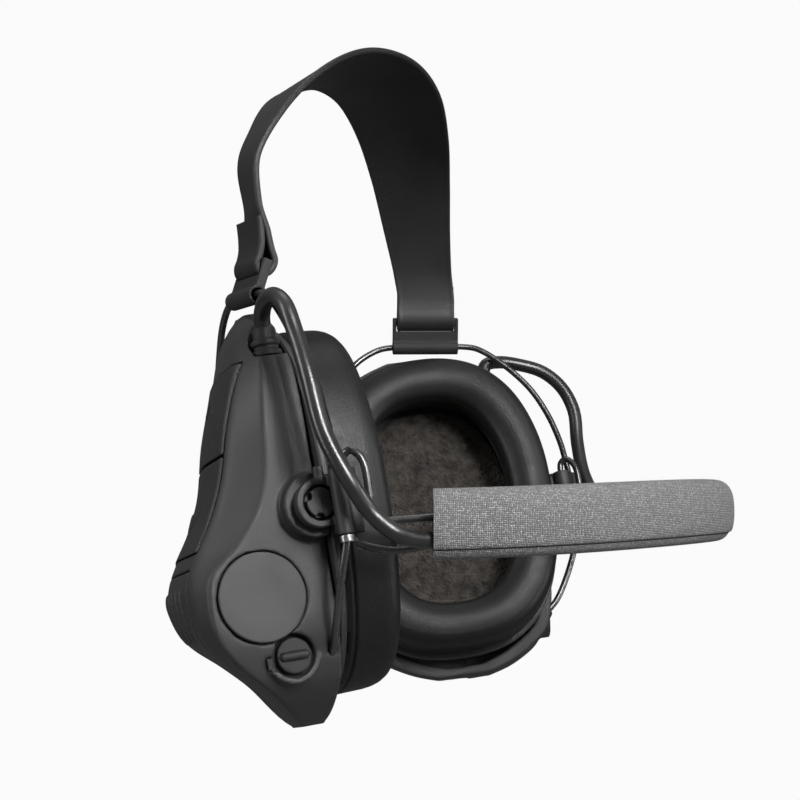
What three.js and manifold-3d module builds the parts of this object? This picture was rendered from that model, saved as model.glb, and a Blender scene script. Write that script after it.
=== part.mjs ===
// Radio headphones worn with a neckband behind the head and a strap over it.
// Millimetres. +X is the wearer's right, +Y the wearer's face, +Z up. The origin is the middle of
// the head, level with the ear openings. Each cup is built in its own frame: x points from the cup
// to the ear, y forward, z up, and the origin is the middle of the plate behind the cushion.
import * as THREE from "three";
import { mergeVertices } from "three/addons/utils/BufferGeometryUtils.js";
import Module from "manifold-3d";

const wasm = await Module();
wasm.setup();

// ---- driving dimensions ----
const GAP = 0.3; // between pieces that touch
const SWIVEL_X = 90.5; // half the distance between the two swivel axes
const SWIVEL_Z = 6.6; // height of the middle of the cup along the swivel axis
const LEFT_TOE = 46.5; // degrees that the left cup is turned inwards at rest
const RIGHT_TOE = 26.5;
const LEFT_ROLL = 7.5; // degrees that the left cup's face looks up
const RIGHT_ROLL = 18;
const CUP_PITCH = 8; // degrees that each cup leans forward
const LEFT_LEAN = 25; // degrees that the left strap loop leans towards the head
const RIGHT_LEAN = 30;

const SWIVEL_IN_CUP = new THREE.Vector3(1.8, -43, 0);

const RIM = -2.7; // x of the open rim of the housing
const WALL = 3;
const PLATE = { back: -2.4, front: -0.3, width: 38.4, height: 50.2 };
const CUSHION = { depth: 16.8, width: 37.5, height: 49, holeWidth: 25, holeHeight: 37 };
const OVAL_POWER = 2.45; // exponent of the cups' superellipse outline

const BAND = { halfWidth: 90.5, depth: 68, startAngle: 18, droop: -1.2, rise: 2.6 };
const SLEEVE = { halfThickness: 6.2, halfHeight: 9, skin: 1.2 };
const WIRE_RADIUS = 1;
const CABLE_RADIUS = 2.2;

const STRAP = { thickness: 1.8, endWidth: 19.4 };

// ---- materials ----
const finish = (color, roughness, metalness = 0) =>
  new THREE.MeshStandardMaterial({ color, roughness, metalness });
const SHELL_PLASTIC = finish(0x2b2c2d, 0.62);
const DISC_PLASTIC = finish(0x3c3d3e, 0.6);
const RUBBER = finish(0x232425, 0.8);
const LEATHERETTE = finish(0x1d1e1f, 0.4);
const FOAM = finish(0x2c2825, 1);
const BLACK_STEEL = finish(0x2a2a2b, 0.35, 0.8);
const BRIGHT_STEEL = finish(0x8d8e90, 0.3, 0.9);
const STRAP_RUBBER = finish(0x151516, 0.6);
const HEATHER_CLOTH = finish(0x77797b, 0.95);
const CIRCUIT_GREEN = finish(0x1f4a2c, 0.5);
const CELL_JACKET = finish(0x50565c, 0.4, 0.3);

// ---- solid tools ----
// A closed geometry as a solid that can be joined and cut.
function solid(geometry) {
  const bare = geometry.clone();
  bare.deleteAttribute("normal");
  bare.deleteAttribute("uv");
  const merged = facingOut(mergeVertices(bare, 1e-4));
  const mesh = new wasm.Mesh({
    numProp: 3,
    vertProperties: merged.attributes.position.array,
    triVerts: new Uint32Array(merged.index.array),
  });
  return new wasm.Manifold(mesh);
}

function geometryOf(body) {
  const { vertProperties, triVerts } = body.getMesh();
  const geometry = new THREE.BufferGeometry();
  geometry.setAttribute("position", new THREE.BufferAttribute(vertProperties, 3));
  geometry.setIndex(new THREE.BufferAttribute(triVerts, 1));
  return geometry;
}

function piece(name, body, material) {
  const geometry = body.isBufferGeometry ? body : geometryOf(body);
  const mesh = new THREE.Mesh(geometry, material);
  mesh.name = name;
  return mesh;
}

const joined = (bodies) => bodies.reduce((sum, next) => sum.add(next));

// A closed skin over rings of points, each ring a list of Vector3 of the same count.
function skin(rings) {
  const count = rings[0].length;
  const points = rings.flat();
  const centre = (ring) =>
    ring.reduce((sum, p) => sum.add(p), new THREE.Vector3()).divideScalar(count);
  points.push(centre(rings[0]), centre(rings.at(-1)));
  const first = points.length - 2;
  const last = points.length - 1;
  const top = (rings.length - 1) * count;
  const index = [];
  for (let i = 0; i < count; i += 1) {
    const j = (i + 1) % count;
    index.push(first, j, i);
    index.push(last, top + i, top + j);
    for (let r = 0; r < top; r += count) {
      index.push(r + i, r + j, r + count + j);
      index.push(r + i, r + count + j, r + count + i);
    }
  }
  const geometry = new THREE.BufferGeometry().setFromPoints(points);
  geometry.setIndex(index);
  return geometry;
}

// The same geometry with its faces turned round if they look inwards.
function facingOut(geometry) {
  const { position } = geometry.attributes;
  const index = [...geometry.index.array];
  const corner = (i) => new THREE.Vector3().fromBufferAttribute(position, index[i]);
  let volume = 0;
  for (let i = 0; i < index.length; i += 3) {
    volume += corner(i).dot(corner(i + 1).cross(corner(i + 2)));
  }
  if (volume < 0) {
    geometry.setIndex(index.reverse());
  }
  return geometry;
}

// A box from its lowest to its highest corner.
function box(low, high) {
  const size = high.map((value, i) => value - low[i]);
  const geometry = new THREE.BoxGeometry(...size);
  geometry.translate(...low.map((value, i) => value + size[i] / 2));
  return solid(geometry);
}

// A solid of revolution about the cup's y axis, its profile given as radius and y, at x and z.
function turnedAlongY(profile, x, z, segments = 24) {
  const points = profile.map(([radius, y]) => new THREE.Vector2(radius, y));
  const geometry = new THREE.LatheGeometry(points, segments);
  geometry.translate(x, 0, z);
  return solid(geometry);
}

const rod = (radius, from, to, x, z, segments = 24) =>
  turnedAlongY([[0, from], [radius, from], [radius, to], [0, to]], x, z, segments);

function uprightRod(radius, bottom, top, x, y, segments = 16) {
  const geometry = new THREE.CylinderGeometry(radius, radius, top - bottom, segments);
  geometry.rotateX(Math.PI / 2);
  geometry.translate(x, y, (top + bottom) / 2);
  return solid(geometry);
}

// A round bar through points, with the same number of steps between each pair of them.
function bar(points, radius, sides = 8, stepsBetween = 2) {
  const path = points.map((p) => (p.isVector3 ? p : new THREE.Vector3(...p)));
  const curve = new THREE.CatmullRomCurve3(path, false, "centripetal");
  curve.getUtoTmapping = (u) => u;
  const section = new THREE.Shape();
  section.absarc(0, 0, radius, 0, 2 * Math.PI);
  const geometry = new THREE.ExtrudeGeometry(section, {
    steps: (path.length - 1) * stepsBetween,
    curveSegments: sides / 2,
    bevelEnabled: false,
    extrudePath: curve,
  });
  return solid(geometry);
}

// The cups' outline: a superellipse in y and z, at a given x.
function ovalRing(width, height, x, count = 36) {
  const bulge = (value) => Math.sign(value) * Math.abs(value) ** (2 / OVAL_POWER);
  return Array.from({ length: count }, (_, i) => {
    const angle = (i / count) * 2 * Math.PI;
    return new THREE.Vector3(x, width * bulge(Math.cos(angle)), height * bulge(Math.sin(angle)));
  });
}

const ovalPlate = (width, height, from, to) =>
  solid(skin([ovalRing(width, height, from), ovalRing(width, height, to)]));

// ---- housing ----
// Heights on the housing, from the bottom tip to the top, with its half length along y, the depth of
// its outer face and of the edge of its rear wall behind the rim, and how much of that depth is left
// in the middle of the face and towards the front.
const HOUSING_LEVELS = [
  { z: -55.5, half: 9, depth: 7, edge: 6.5, middle: 0.8, front: 0.6 },
  { z: -52, half: 18, depth: 11.5, edge: 11, middle: 0.7, front: 0.45 },
  { z: -45, half: 28, depth: 19.5, edge: 19, middle: 0.65, front: 0.38 },
  { z: -37, half: 32, depth: 28.5, edge: 27.5, middle: 0.77, front: 0.5 },
  { z: -29, half: 33.6, depth: 34, edge: 32, middle: 0.92, front: 0.69 },
  { z: -20, half: 34, depth: 35.4, edge: 32.4, middle: 0.98, front: 0.78 },
  { z: -14, half: 34, depth: 34.4, edge: 30.5, middle: 0.98, front: 0.79 },
  { z: -8, half: 34, depth: 31.4, edge: 23, middle: 0.98, front: 0.76 },
  { z: 0, half: 34, depth: 26.5, edge: 16.5, middle: 0.97, front: 0.7 },
  { z: 10, half: 34, depth: 22, edge: 12.6, middle: 0.96, front: 0.66 },
  { z: 23, half: 33.6, depth: 18.4, edge: 11, middle: 0.95, front: 0.63 },
  { z: 35, half: 31.5, depth: 14.2, edge: 9, middle: 0.94, front: 0.56 },
  { z: 45, half: 25.5, depth: 10, edge: 7, middle: 0.94, front: 0.58 },
  { z: 51, half: 17.5, depth: 6.6, edge: 5.2, middle: 0.95, front: 0.65 },
  { z: 54.5, half: 8, depth: 3.8, edge: 3.2, middle: 1, front: 0.75 },
];
const FRONT_SHOULDER = 9; // from the front wall to where the outer face starts to fall away
const REAR_SHOULDER = 8;

// A ring around the housing at one level, moved outwards by offset.
function housingRing(level, offset, rim) {
  const half = level.half + offset;
  const depth = -RIM + level.depth + offset;
  const edge = -RIM + level.edge + offset;
  const middleDepth = -RIM + level.depth * level.middle + offset;
  const frontDepth = -RIM + level.depth * level.front + offset;
  const frontEdge = -RIM + level.edge * level.front + offset;
  const corners = [
    [rim, -half, 0],
    [rim, half, 0],
    [-frontEdge, half, 2.2],
    [-frontDepth, half - FRONT_SHOULDER, 5],
    [-middleDepth, -2, 8],
    [-depth, -half + REAR_SHOULDER, 3],
    [-edge, -half, 1],
  ];
  return roundedCorners(corners).map(([x, y]) => new THREE.Vector3(x, y, level.z));
}

// Each corner [x, y, cut] is replaced by a curve that starts and ends that far from it.
function roundedCorners(corners, steps = 2) {
  return corners.flatMap(([x, y, cut], i) => {
    if (cut === 0) {
      return [[x, y]];
    }
    const corner = new THREE.Vector2(x, y);
    const towards = (k) => {
      const other = corners.at(k % corners.length);
      const side = new THREE.Vector2(other[0], other[1]).sub(corner);
      return corner.clone().add(side.setLength(Math.min(cut, side.length() * 0.45)));
    };
    const curve = new THREE.QuadraticBezierCurve(towards(i - 1), corner, towards(i + 1));
    return curve.getPoints(steps).map((p) => [p.x, p.y]);
  });
}

// The housing's outside, moved outwards by offset and reaching inwards to the plane x = rim.
function housingForm(offset, rim) {
  const rings = HOUSING_LEVELS.map((level) => housingRing(level, offset, rim));
  const stretch = (HOUSING_LEVELS.at(-1).z + offset) / HOUSING_LEVELS.at(-1).z;
  rings.forEach((ring) => ring.forEach((p) => p.setZ(p.z * stretch)));
  return solid(skin(rings));
}

// Features on the housing.
const DISC = { x: -21.6, z: -21.6, radius: 11.3, y: -34 };
const PORT = { x: -15.4, z: -37.1, radius: 4.5, bore: 3.7, y: -32 };
const POST = { x: -5.2, z: -1, boss: 8.3, radius: 3.75, eye: 6.25, hole: 4.5 };
const GLAND = { x: -7, y: -25, bottom: 39.5, top: 47.2 };
const KEY_SPAN = { back: -24, front: 18, thickness: 1.6, proud: 0.5, travel: 0.6 };
const KEYS = [
  { name: "volume_up_key", bottom: 16.2, top: 39 },
  { name: "volume_down_key", bottom: -7.6, top: 15.4 },
];
const DOOR = { bottom: -34.5, top: -12, back: -23, front: 20, skin: 2.2, ribs: 7, ribWidth: 2 };
const FRONT_ANCHOR = { x: -6, z: 2.5 };
const REAR_ANCHOR = [-5, -31, -38];

const keyZone = (key, grow) =>
  box([-60, KEY_SPAN.back - grow, key.bottom - grow], [0, KEY_SPAN.front + grow, key.top + grow]);
const doorZone = (grow) =>
  box([-60, DOOR.back - grow, DOOR.bottom - grow], [-20, DOOR.front + grow, DOOR.top + grow]);

// The hoop wire, from its hole low in the rear wall, up through the hinge block, over the top of the
// cup and down to its hole in the front wall.
const HOOP_ROUTE = [
  REAR_ANCHOR,
  [-4.9, -34.8, -34.5],
  [-4.4, -39.6, -27],
  [-3, -43.6, -18.5],
  [-1.4, -46, -11],
  [-1.2, -46.2, -4],
  [-1.2, -46.2, 4],
  [-1.4, -46.1, 10],
  [-2.4, -45.6, 19],
  [-3.2, -43.2, 30],
  [-3.5, -38.8, 40],
  [-3.7, -31, 50],
  [-4.1, -24.2, 56],
  [-4.25, -20, 57.5],
  [-4.25, -8.2, 59],
  [-4.25, 4, 60.55],
  [-4.3, 10, 60.2],
  [-4.4, 18, 56.4],
  [-4.6, 24.6, 49.6],
  [-4.7, 33.4, 38],
  [-5.1, 36.8, 25],
  [-5.6, 37.6, 13],
  [-6, 37, 6],
  [FRONT_ANCHOR.x, 34.6, FRONT_ANCHOR.z],
  [FRONT_ANCHOR.x, 31.2, FRONT_ANCHOR.z],
];

function housing(name) {
  const outside = housingForm(0, RIM);
  const hollow = housingForm(-WALL, 5);
  const socket = rod(PORT.radius + 2.6, PORT.y, PORT.y + 8, PORT.x, PORT.z, 40);
  const boss = rod(POST.boss, -38.5, -30, POST.x, POST.z).subtract(
    box([RIM, -60, -40], [40, 0, 40]),
  );
  const lug = rod(2.6, 30, 36, FRONT_ANCHOR.x, FRONT_ANCHOR.z, 20);
  let shell = joined([outside, boss, lug, socket]).subtract(hollow);
  for (const key of KEYS) {
    const floor = KEY_SPAN.thickness - KEY_SPAN.proud + KEY_SPAN.travel + GAP;
    const pocket = keyZone(key, GAP).subtract(housingForm(-floor, 5));
    shell = shell.subtract(pocket);
  }
  shell = shell.subtract(doorZone(GAP));
  shell = shell.subtract(rod(DISC.radius + GAP, DISC.y - 3, DISC.y + 2, DISC.x, DISC.z, 48));
  shell = shell.subtract(rod(PORT.radius + 1, PORT.y - 5, PORT.y + 1.6, PORT.x, PORT.z, 40));
  shell = shell.subtract(rod(PORT.bore + GAP, PORT.y - 5, PORT.y + 9, PORT.x, PORT.z));
  const notch = box([PORT.x - 7.6, PORT.y - 5, PORT.z - 3], [PORT.x - 4, PORT.y + 1, PORT.z + 0.6]);
  shell = shell.subtract(notch);
  const recess = uprightRod(4.4, GLAND.bottom, 70, GLAND.x, GLAND.y);
  const recessMouth = box([GLAND.x - 4.4, -60, GLAND.bottom], [GLAND.x + 4.3, GLAND.y, 70]);
  shell = shell.subtract(recess).subtract(recessMouth);
  shell = shell.subtract(bar(HOOP_ROUTE, WIRE_RADIUS + GAP));
  return piece(name, shell, SHELL_PLASTIC);
}

// A key is a patch of the outer face with soft rubber on it.
function key(name, place) {
  const top = housingForm(KEY_SPAN.proud, 0).intersect(keyZone(place, 0));
  const under = housingForm(KEY_SPAN.proud - KEY_SPAN.thickness, 5);
  return piece(name, top.subtract(under), RUBBER);
}

function batteryDoor(name) {
  const outer = housingForm(0, 0).intersect(doorZone(0));
  const ribs = [];
  const pitch = (DOOR.front - DOOR.back - 8) / DOOR.ribs;
  for (let i = 0; i < DOOR.ribs; i += 1) {
    const y = DOOR.back + 6 + i * pitch;
    ribs.push(box([-60, y, DOOR.bottom + 5], [0, y + DOOR.ribWidth, DOOR.top - 4]));
  }
  const raised = housingForm(0.5, 0).intersect(joined(ribs));
  const room = housingForm(-DOOR.skin, 5);
  return piece(name, joined([outer, raised]).subtract(room), SHELL_PLASTIC);
}

function micCover(name) {
  const { radius, y } = DISC;
  const profile = [[0, y + 1.7], [radius, y + 1.7], [radius, y - 0.1], [radius - 0.5, y - 0.6], [0, y - 0.6]];
  return piece(name, turnedAlongY(profile.reverse(), DISC.x, DISC.z, 48), DISC_PLASTIC);
}

// The plug turns in its port. A ridge across its head is the grip.
function portPlug(name) {
  const { x, z, y, radius, bore } = PORT;
  const head = rod(radius, y - 0.6, y + 1.3, x, z);
  const stem = rod(bore, y + 1, y + 7, x, z);
  const ridge = box([x - radius + 0.4, y - 2, z - 1.1], [x + radius - 0.4, y, z + 1.1]);
  return piece(name, joined([head, stem, ridge]), RUBBER);
}

function portTab(name) {
  const { x, y, z } = PORT;
  const tab = box([x - 7.2, y - 0.5, z - 2.6], [x - 5.9, y + 0.7, z + 0.2]);
  return piece(name, tab, RUBBER);
}

function pivotPost(name) {
  const { x, z, radius } = POST;
  let post = rod(radius, -42.6, -38.5 - GAP, x, z);
  for (const turn of [150, 10, 260]) {
    const angle = THREE.MathUtils.degToRad(turn);
    const slot = rod(1.2, -50, -40.2, x + radius * Math.cos(angle), z + radius * Math.sin(angle), 12);
    post = post.subtract(slot);
  }
  return piece(name, post, RUBBER);
}

// The hinge block: an eye on the post, a barrel for the neckband wire and a tube for the hoop wire.
function hingeBlock(name) {
  const back = -42.4;
  const front = -39;
  const bottom = -10;
  const top = 6.5;
  const [sx, sy] = [SWIVEL_IN_CUP.x, SWIVEL_IN_CUP.y];
  const eye = rod(POST.eye, back, front, POST.x, POST.z);
  const plate = box([POST.x, back, bottom + 3], [sx, front, top - 1]);
  const barrel = uprightRod(2.9, bottom, top, sx, sy);
  const tube = uprightRod(2.1, bottom, top, -1.2, -46.2);
  const web = box([-2.6, -46, bottom + 0.6], [sx - 0.6, -41, top - 0.6]);
  const stub = uprightRod(1.3, top - 3, top + 1.6, -4.2, -41);
  let block = joined([eye, plate, barrel, tube, web, stub]);
  block = block.subtract(rod(POST.hole, back - 0.5, -30, POST.x, POST.z));
  block = block.subtract(uprightRod(WIRE_RADIUS + GAP, -30, 30, sx, sy, 16));
  return piece(name, block.subtract(bar(HOOP_ROUTE, WIRE_RADIUS + GAP)), SHELL_PLASTIC);
}

function ferrule(name) {
  const ring = uprightRod(1.9, -12, -10 - GAP, -1.25, -46.15);
  return piece(name, ring.subtract(bar(HOOP_ROUTE, WIRE_RADIUS + GAP)), BRIGHT_STEEL);
}

const hoopWire = (name) => piece(name, bar(HOOP_ROUTE, WIRE_RADIUS), BLACK_STEEL);

function sealPlate(name) {
  const plate = ovalPlate(PLATE.width, PLATE.height, PLATE.back, PLATE.front);
  const hole = ovalPlate(CUSHION.holeWidth, CUSHION.holeHeight, -20, 20);
  return piece(name, plate.subtract(hole), SHELL_PLASTIC);
}

// The cushion is a ring with a round crown, which narrows a little towards the face.
function earCushion(name) {
  const { depth, width, height, holeWidth, holeHeight } = CUSHION;
  const wide = (width - holeWidth) / 2;
  const section = [];
  const steps = 9;
  for (let i = 0; i <= steps; i += 1) {
    const angle = (i / steps) * Math.PI;
    section.push([Math.cos(angle), Math.sin(angle) ** 0.6]);
  }
  const slimming = (height - holeHeight) / (width - holeWidth);
  const rings = section.map(([across, up]) => {
    const inset = (1 - across) * wide;
    return ovalRing(width - inset, height - inset * slimming, depth * up);
  });
  return piece(name, solid(closedRing(rings)), LEATHERETTE);
}

// A ring-shaped solid: like skin, but the last ring is joined back to the first.
function closedRing(rings) {
  const count = rings[0].length;
  const points = rings.flat();
  const index = [];
  for (let r = 0; r < rings.length; r += 1) {
    const here = r * count;
    const next = ((r + 1) % rings.length) * count;
    for (let i = 0; i < count; i += 1) {
      const j = (i + 1) % count;
      index.push(here + i, here + j, next + j, here + i, next + j, next + i);
    }
  }
  const geometry = new THREE.BufferGeometry().setFromPoints(points);
  geometry.setIndex(index);
  return geometry;
}

const foamLiner = (name) => piece(name, ovalPlate(25.5, 36, -9.2, -5), FOAM);

function speaker(name) {
  const profile = [[0, -16.2], [9, -16.2], [9, -14], [15, -12.8], [15, -10.8], [0, -10.8]];
  const geometry = new THREE.LatheGeometry(profile.map(([r, x]) => new THREE.Vector2(r, x)), 32);
  geometry.rotateZ(-Math.PI / 2);
  geometry.translate(0, 0, 2);
  return piece(name, solid(geometry), BLACK_STEEL);
}

const circuitBoard = (name) => piece(name, box([-18.9, -24, -31], [-17.3, 18, -2]), CIRCUIT_GREEN);

function battery(name) {
  const cell = [[0, -30], [5.25, -30], [5.25, 13], [2, 13], [2, 14.5], [0, 14.5]];
  return piece(name, turnedAlongY(cell, -24.3, -20.2), CELL_JACKET);
}

// The cable gland: a stepped rubber boot with a hole for the cable's end.
function gland(name) {
  const { x, y, bottom, top } = GLAND;
  const profile = [
    [0, bottom + GAP],
    [3.9, bottom + GAP],
    [3.9, bottom + 1.6],
    [3.3, bottom + 1.9],
    [3.3, bottom + 2.8],
    [3.8, bottom + 3.1],
    [3.8, bottom + 4.4],
    [3.1, bottom + 4.7],
    [3.1, bottom + 5.4],
    [2.7, top],
    [0, top],
  ];
  const geometry = new THREE.LatheGeometry(profile.map(([r, h]) => new THREE.Vector2(r, h)), 28);
  geometry.rotateX(Math.PI / 2);
  geometry.translate(x, y, 0);
  return piece(name, solid(geometry), RUBBER);
}

// The loop that the strap is threaded through, hooked over the top of the hoop wire. It leans in
// towards the head, the way the strap pulls it.
const LOOP = { at: [-4.25, -6.4, 59.23], half: 11.2, side: 1.2, slot: 5.4, bar: 2.2, top: 10, rise: 7.5 };

function strapLoop(name, lean) {
  const { half, side, slot, top } = LOOP;
  const tube = rod(2.5, -half, half, 0, 0, 20);
  const frame = box([-1.3, -half, 1], [1.3, half, top]);
  const gap = box([-5, side - half, slot], [5, half - side, top - LOOP.bar]);
  const bore = rod(WIRE_RADIUS + 0.8, -20, 20, 0, 0, 16);
  const loop = joined([tube, frame]).subtract(gap).subtract(bore);
  const mesh = piece(name, loop, RUBBER);
  mesh.position.set(...LOOP.at);
  mesh.rotation.set(THREE.MathUtils.degToRad(LOOP.rise), THREE.MathUtils.degToRad(lean), 0);
  return mesh;
}

// ---- one cup ----
function cup(side, toe, roll, lean) {
  const name = (word) => `${side}_${word}`;
  const swivel = new THREE.Group();
  const turn = THREE.MathUtils.degToRad;
  swivel.position.set(-SWIVEL_X, 0, SWIVEL_Z);
  swivel.rotation.set(-turn(CUP_PITCH), -turn(roll), -turn(toe), "ZYX");
  const frame = new THREE.Group();
  frame.position.copy(SWIVEL_IN_CUP).negate();
  swivel.add(frame);
  frame.add(
    housing(name("housing")),
    batteryDoor(name("battery_door")),
    micCover(name("mic_port_cover")),
    portPlug(name("port_plug")),
    portTab(name("port_tab")),
    pivotPost(name("pivot_post")),
    hingeBlock(name("hinge_block")),
    ferrule(name("wire_ferrule")),
    hoopWire(name("hoop_wire")),
    sealPlate(name("seal_plate")),
    earCushion(name("ear_cushion")),
    foamLiner(name("foam_liner")),
    speaker(name("speaker")),
    circuitBoard(name("circuit_board")),
    battery(name("battery")),
    gland(name("cable_gland")),
    strapLoop(name("strap_loop"), lean),
    ...KEYS.map((place) => key(name(place.name), place)),
  );
  return swivel;
}

// ---- neckband ----
// A point on the neckband: angle 0 is the left end and 180 the right, out is away from the neck.
function bandPoint(angle, out, up) {
  const a = THREE.MathUtils.degToRad(angle);
  const { halfWidth, depth, droop, rise } = BAND;
  const outwards = new THREE.Vector2(-depth * Math.cos(a), -halfWidth * Math.sin(a)).normalize();
  const middle = new THREE.Vector2(-halfWidth * Math.cos(a), -depth * Math.sin(a));
  middle.addScaledVector(outwards, out);
  return new THREE.Vector3(middle.x, middle.y, droop + rise * Math.sin(a) ** 2 + up);
}

// A solid that follows the neckband, its section a list of [out, up].
function alongBand(section, from, to, steps) {
  const rings = Array.from({ length: steps + 1 }, (_, i) => {
    const angle = from + ((to - from) * i) / steps;
    return section.map(([out, up]) => bandPoint(angle, out, up));
  });
  return solid(skin(rings));
}

function sleeveSection(shrink) {
  const power = 2.6;
  const bulge = (value) => Math.sign(value) * Math.abs(value) ** (2 / power);
  const count = 20;
  return Array.from({ length: count }, (_, i) => {
    const a = (i / count) * 2 * Math.PI;
    const out = (SLEEVE.halfThickness - shrink) * bulge(Math.cos(a));
    return [out, (SLEEVE.halfHeight - shrink) * bulge(Math.sin(a))];
  });
}

const rectangle = (out0, out1, up0, up1) => [[out0, up0], [out1, up0], [out1, up1], [out0, up1]];

function sleeve() {
  const start = BAND.startAngle;
  const outer = alongBand(sleeveSection(0), start, 180 - start, 30);
  const inner = alongBand(sleeveSection(SLEEVE.skin), start - 2, 182 - start, 30);
  return piece("neckband_sleeve", outer.subtract(inner), HEATHER_CLOTH);
}

// Heights of the wire's two runs, and where they lie across the band.
const RUN = { upper: 2.2, lower: -4, out: -1.4 };

// The wire at one end: along the upper run, up beside the barrel, over, down through it and back.
function wireEnd(toe, roll) {
  const swivel = cupAxes(toe, roll);
  const beside = new THREE.Vector3(-SWIVEL_X, 0, SWIVEL_Z);
  beside.add(new THREE.Vector3(0.5, -5.7, 0));
  const along = (point, height) => point.clone().addScaledVector(swivel.up, height);
  const pivot = new THREE.Vector3(-SWIVEL_X, 0, SWIVEL_Z);
  return [
    along(beside, -6),
    along(beside, 0),
    along(beside, 7.4),
    along(pivot.clone().lerp(beside, 0.82), 10),
    along(pivot.clone().lerp(beside, 0.45), 11.2),
    along(pivot.clone().lerp(beside, 0.12), 9.8),
    along(pivot, 7),
    along(pivot, 0),
    along(pivot, -8),
    along(pivot, -11.6),
  ];
}

function cupAxes(toe, roll) {
  const turn = THREE.MathUtils.degToRad;
  const euler = new THREE.Euler(-turn(CUP_PITCH), -turn(roll), -turn(toe), "ZYX");
  return { up: new THREE.Vector3(0, 0, 1).applyEuler(euler) };
}

// One wire, bent to a long loop through both hinge barrels; its ends meet in a crimp at the nape.
function neckbandWire() {
  const mirror = (points) => points.map((p) => new THREE.Vector3(-p.x, p.y, p.z));
  const angles = [22, 30, 40, 52, 66, 78];
  const run = (up) => angles.map((angle) => bandPoint(angle, RUN.out, up));
  const left = wireEnd(LEFT_TOE, LEFT_ROLL);
  const right = mirror(wireEnd(RIGHT_TOE, RIGHT_ROLL));
  const gap = 0.3;
  const points = [
    bandPoint(90 - gap, RUN.out, RUN.upper),
    ...run(RUN.upper).reverse(),
    bandPoint(14, RUN.out, RUN.upper - 0.6),
    ...left,
    bandPoint(10, RUN.out + 1, RUN.lower - 2.2),
    ...run(RUN.lower),
    ...mirror(run(RUN.lower)).reverse(),
    mirror([bandPoint(10, RUN.out + 1, RUN.lower - 2.2)])[0],
    ...right.reverse(),
    mirror([bandPoint(14, RUN.out, RUN.upper - 0.6)])[0],
    ...mirror(run(RUN.upper)),
    bandPoint(90 + gap, RUN.out, RUN.upper),
  ];
  return piece("neckband_wire", bar(points, WIRE_RADIUS), BLACK_STEEL);
}

function crimp() {
  const sides = 12;
  const ring = (radius) =>
    Array.from({ length: sides }, (_, i) => {
      const a = (i / sides) * 2 * Math.PI;
      return [RUN.out + radius * Math.cos(a), RUN.upper + radius * Math.sin(a)];
    });
  const body = alongBand(ring(WIRE_RADIUS + 0.7), 85, 95, 2);
  const bore = alongBand(ring(WIRE_RADIUS + GAP), 84, 96, 2);
  return piece("neckband_crimp", body.subtract(bore), BRIGHT_STEEL);
}

function neckband() {
  const start = BAND.startAngle;
  const spring = alongBand(rectangle(-4.3, -3.7, -3.8, 3.8), start + 4, 176 - start, 30);
  const padding = alongBand(rectangle(-2.8, 2.8, 4.4, 6.4), start + 1, 179 - start, 30);
  return [
    neckbandWire(),
    crimp(),
    piece("neckband_spring", spring, BRIGHT_STEEL),
    piece("neckband_padding", padding, FOAM),
    sleeve(),
  ];
}

// ---- cables ----
// Routes from each gland over the back of its cup to the end of the sleeve.
const LEFT_CABLE = [
  [-83, 27.4, 50.7],
  [-84, 27, 52.5],
  [-87.5, 24.5, 55.5],
  [-91, 20.5, 57],
  [-95.5, 15, 54],
  [-97, 11.5, 47],
  [-100, 6.5, 36],
  [-101.5, 1.5, 21.5],
  [-101, -5, 10],
  [-97.5, -9.5, 2],
  [-95.5, -14.6, -2.5],
  [-91.3, -18.6, -4.3],
  [-88.1, -21.9, -4.6],
  [-86.6, -25.5, -4.5],
];
const RIGHT_CABLE = [
  [99.8, 32, 47],
  [101.4, 31.5, 49.8],
  [104.5, 28, 50.8],
  [108.5, 22, 50],
  [112, 14.5, 47.5],
  [113.2, 8, 42],
  [112.5, 3.5, 34],
  [109, 1.2, 23],
  [104, -2.5, 12.5],
  [99.5, -8.5, 3.5],
  [95.5, -14.6, -2.5],
  [91.3, -18.6, -4.3],
  [88.1, -21.9, -4.6],
  [86.6, -25.5, -4.5],
];

function cables() {
  const span = { out: 2.2, up: -3.7 };
  const first = 22.6;
  const angles = Array.from({ length: 31 }, (_, i) => first + (i / 30) * (180 - 2 * first));
  const hidden = angles.map((angle) => bandPoint(angle, span.out, span.up).toArray());
  return [
    piece("left_cable", bar(LEFT_CABLE, CABLE_RADIUS, 10), RUBBER),
    piece("middle_cable", bar(hidden, CABLE_RADIUS, 8, 1), RUBBER),
    piece("right_cable", bar(RIGHT_CABLE, CABLE_RADIUS, 10), RUBBER),
  ];
}

// ---- strap over the head ----
// Points along the middle of the strap between its two loops, with the width there, how far its front
// edge is turned towards the wearer's right, in degrees, and how far that edge dips below the middle.
const STRAP_ROUTE = [
  { at: [-65, 38.1, 84], width: 20, turn: 55, dip: 0 },
  { at: [-64.6, 39.4, 96], width: 22, turn: 52, dip: 0 },
  { at: [-56, 38.8, 108.5], width: 25.5, turn: 45, dip: 1 },
  { at: [-40, 38.5, 120.5], width: 30, turn: 32, dip: 3 },
  { at: [-15, 38.5, 130], width: 33, turn: 20, dip: 4.2 },
  { at: [12, 38.8, 133.8], width: 36, turn: 8, dip: 2.2 },
  { at: [35.5, 40.4, 130.5], width: 34, turn: -3, dip: 0.5 },
  { at: [53.5, 43, 121.5], width: 30, turn: -12, dip: 0 },
  { at: [68, 46, 109], width: 26, turn: -20, dip: 0 },
  { at: [78.5, 48, 94], width: 22.5, turn: -25, dip: 0 },
  { at: [85, 48.6, 81], width: 20, turn: -27, dip: 0 },
];

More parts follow.
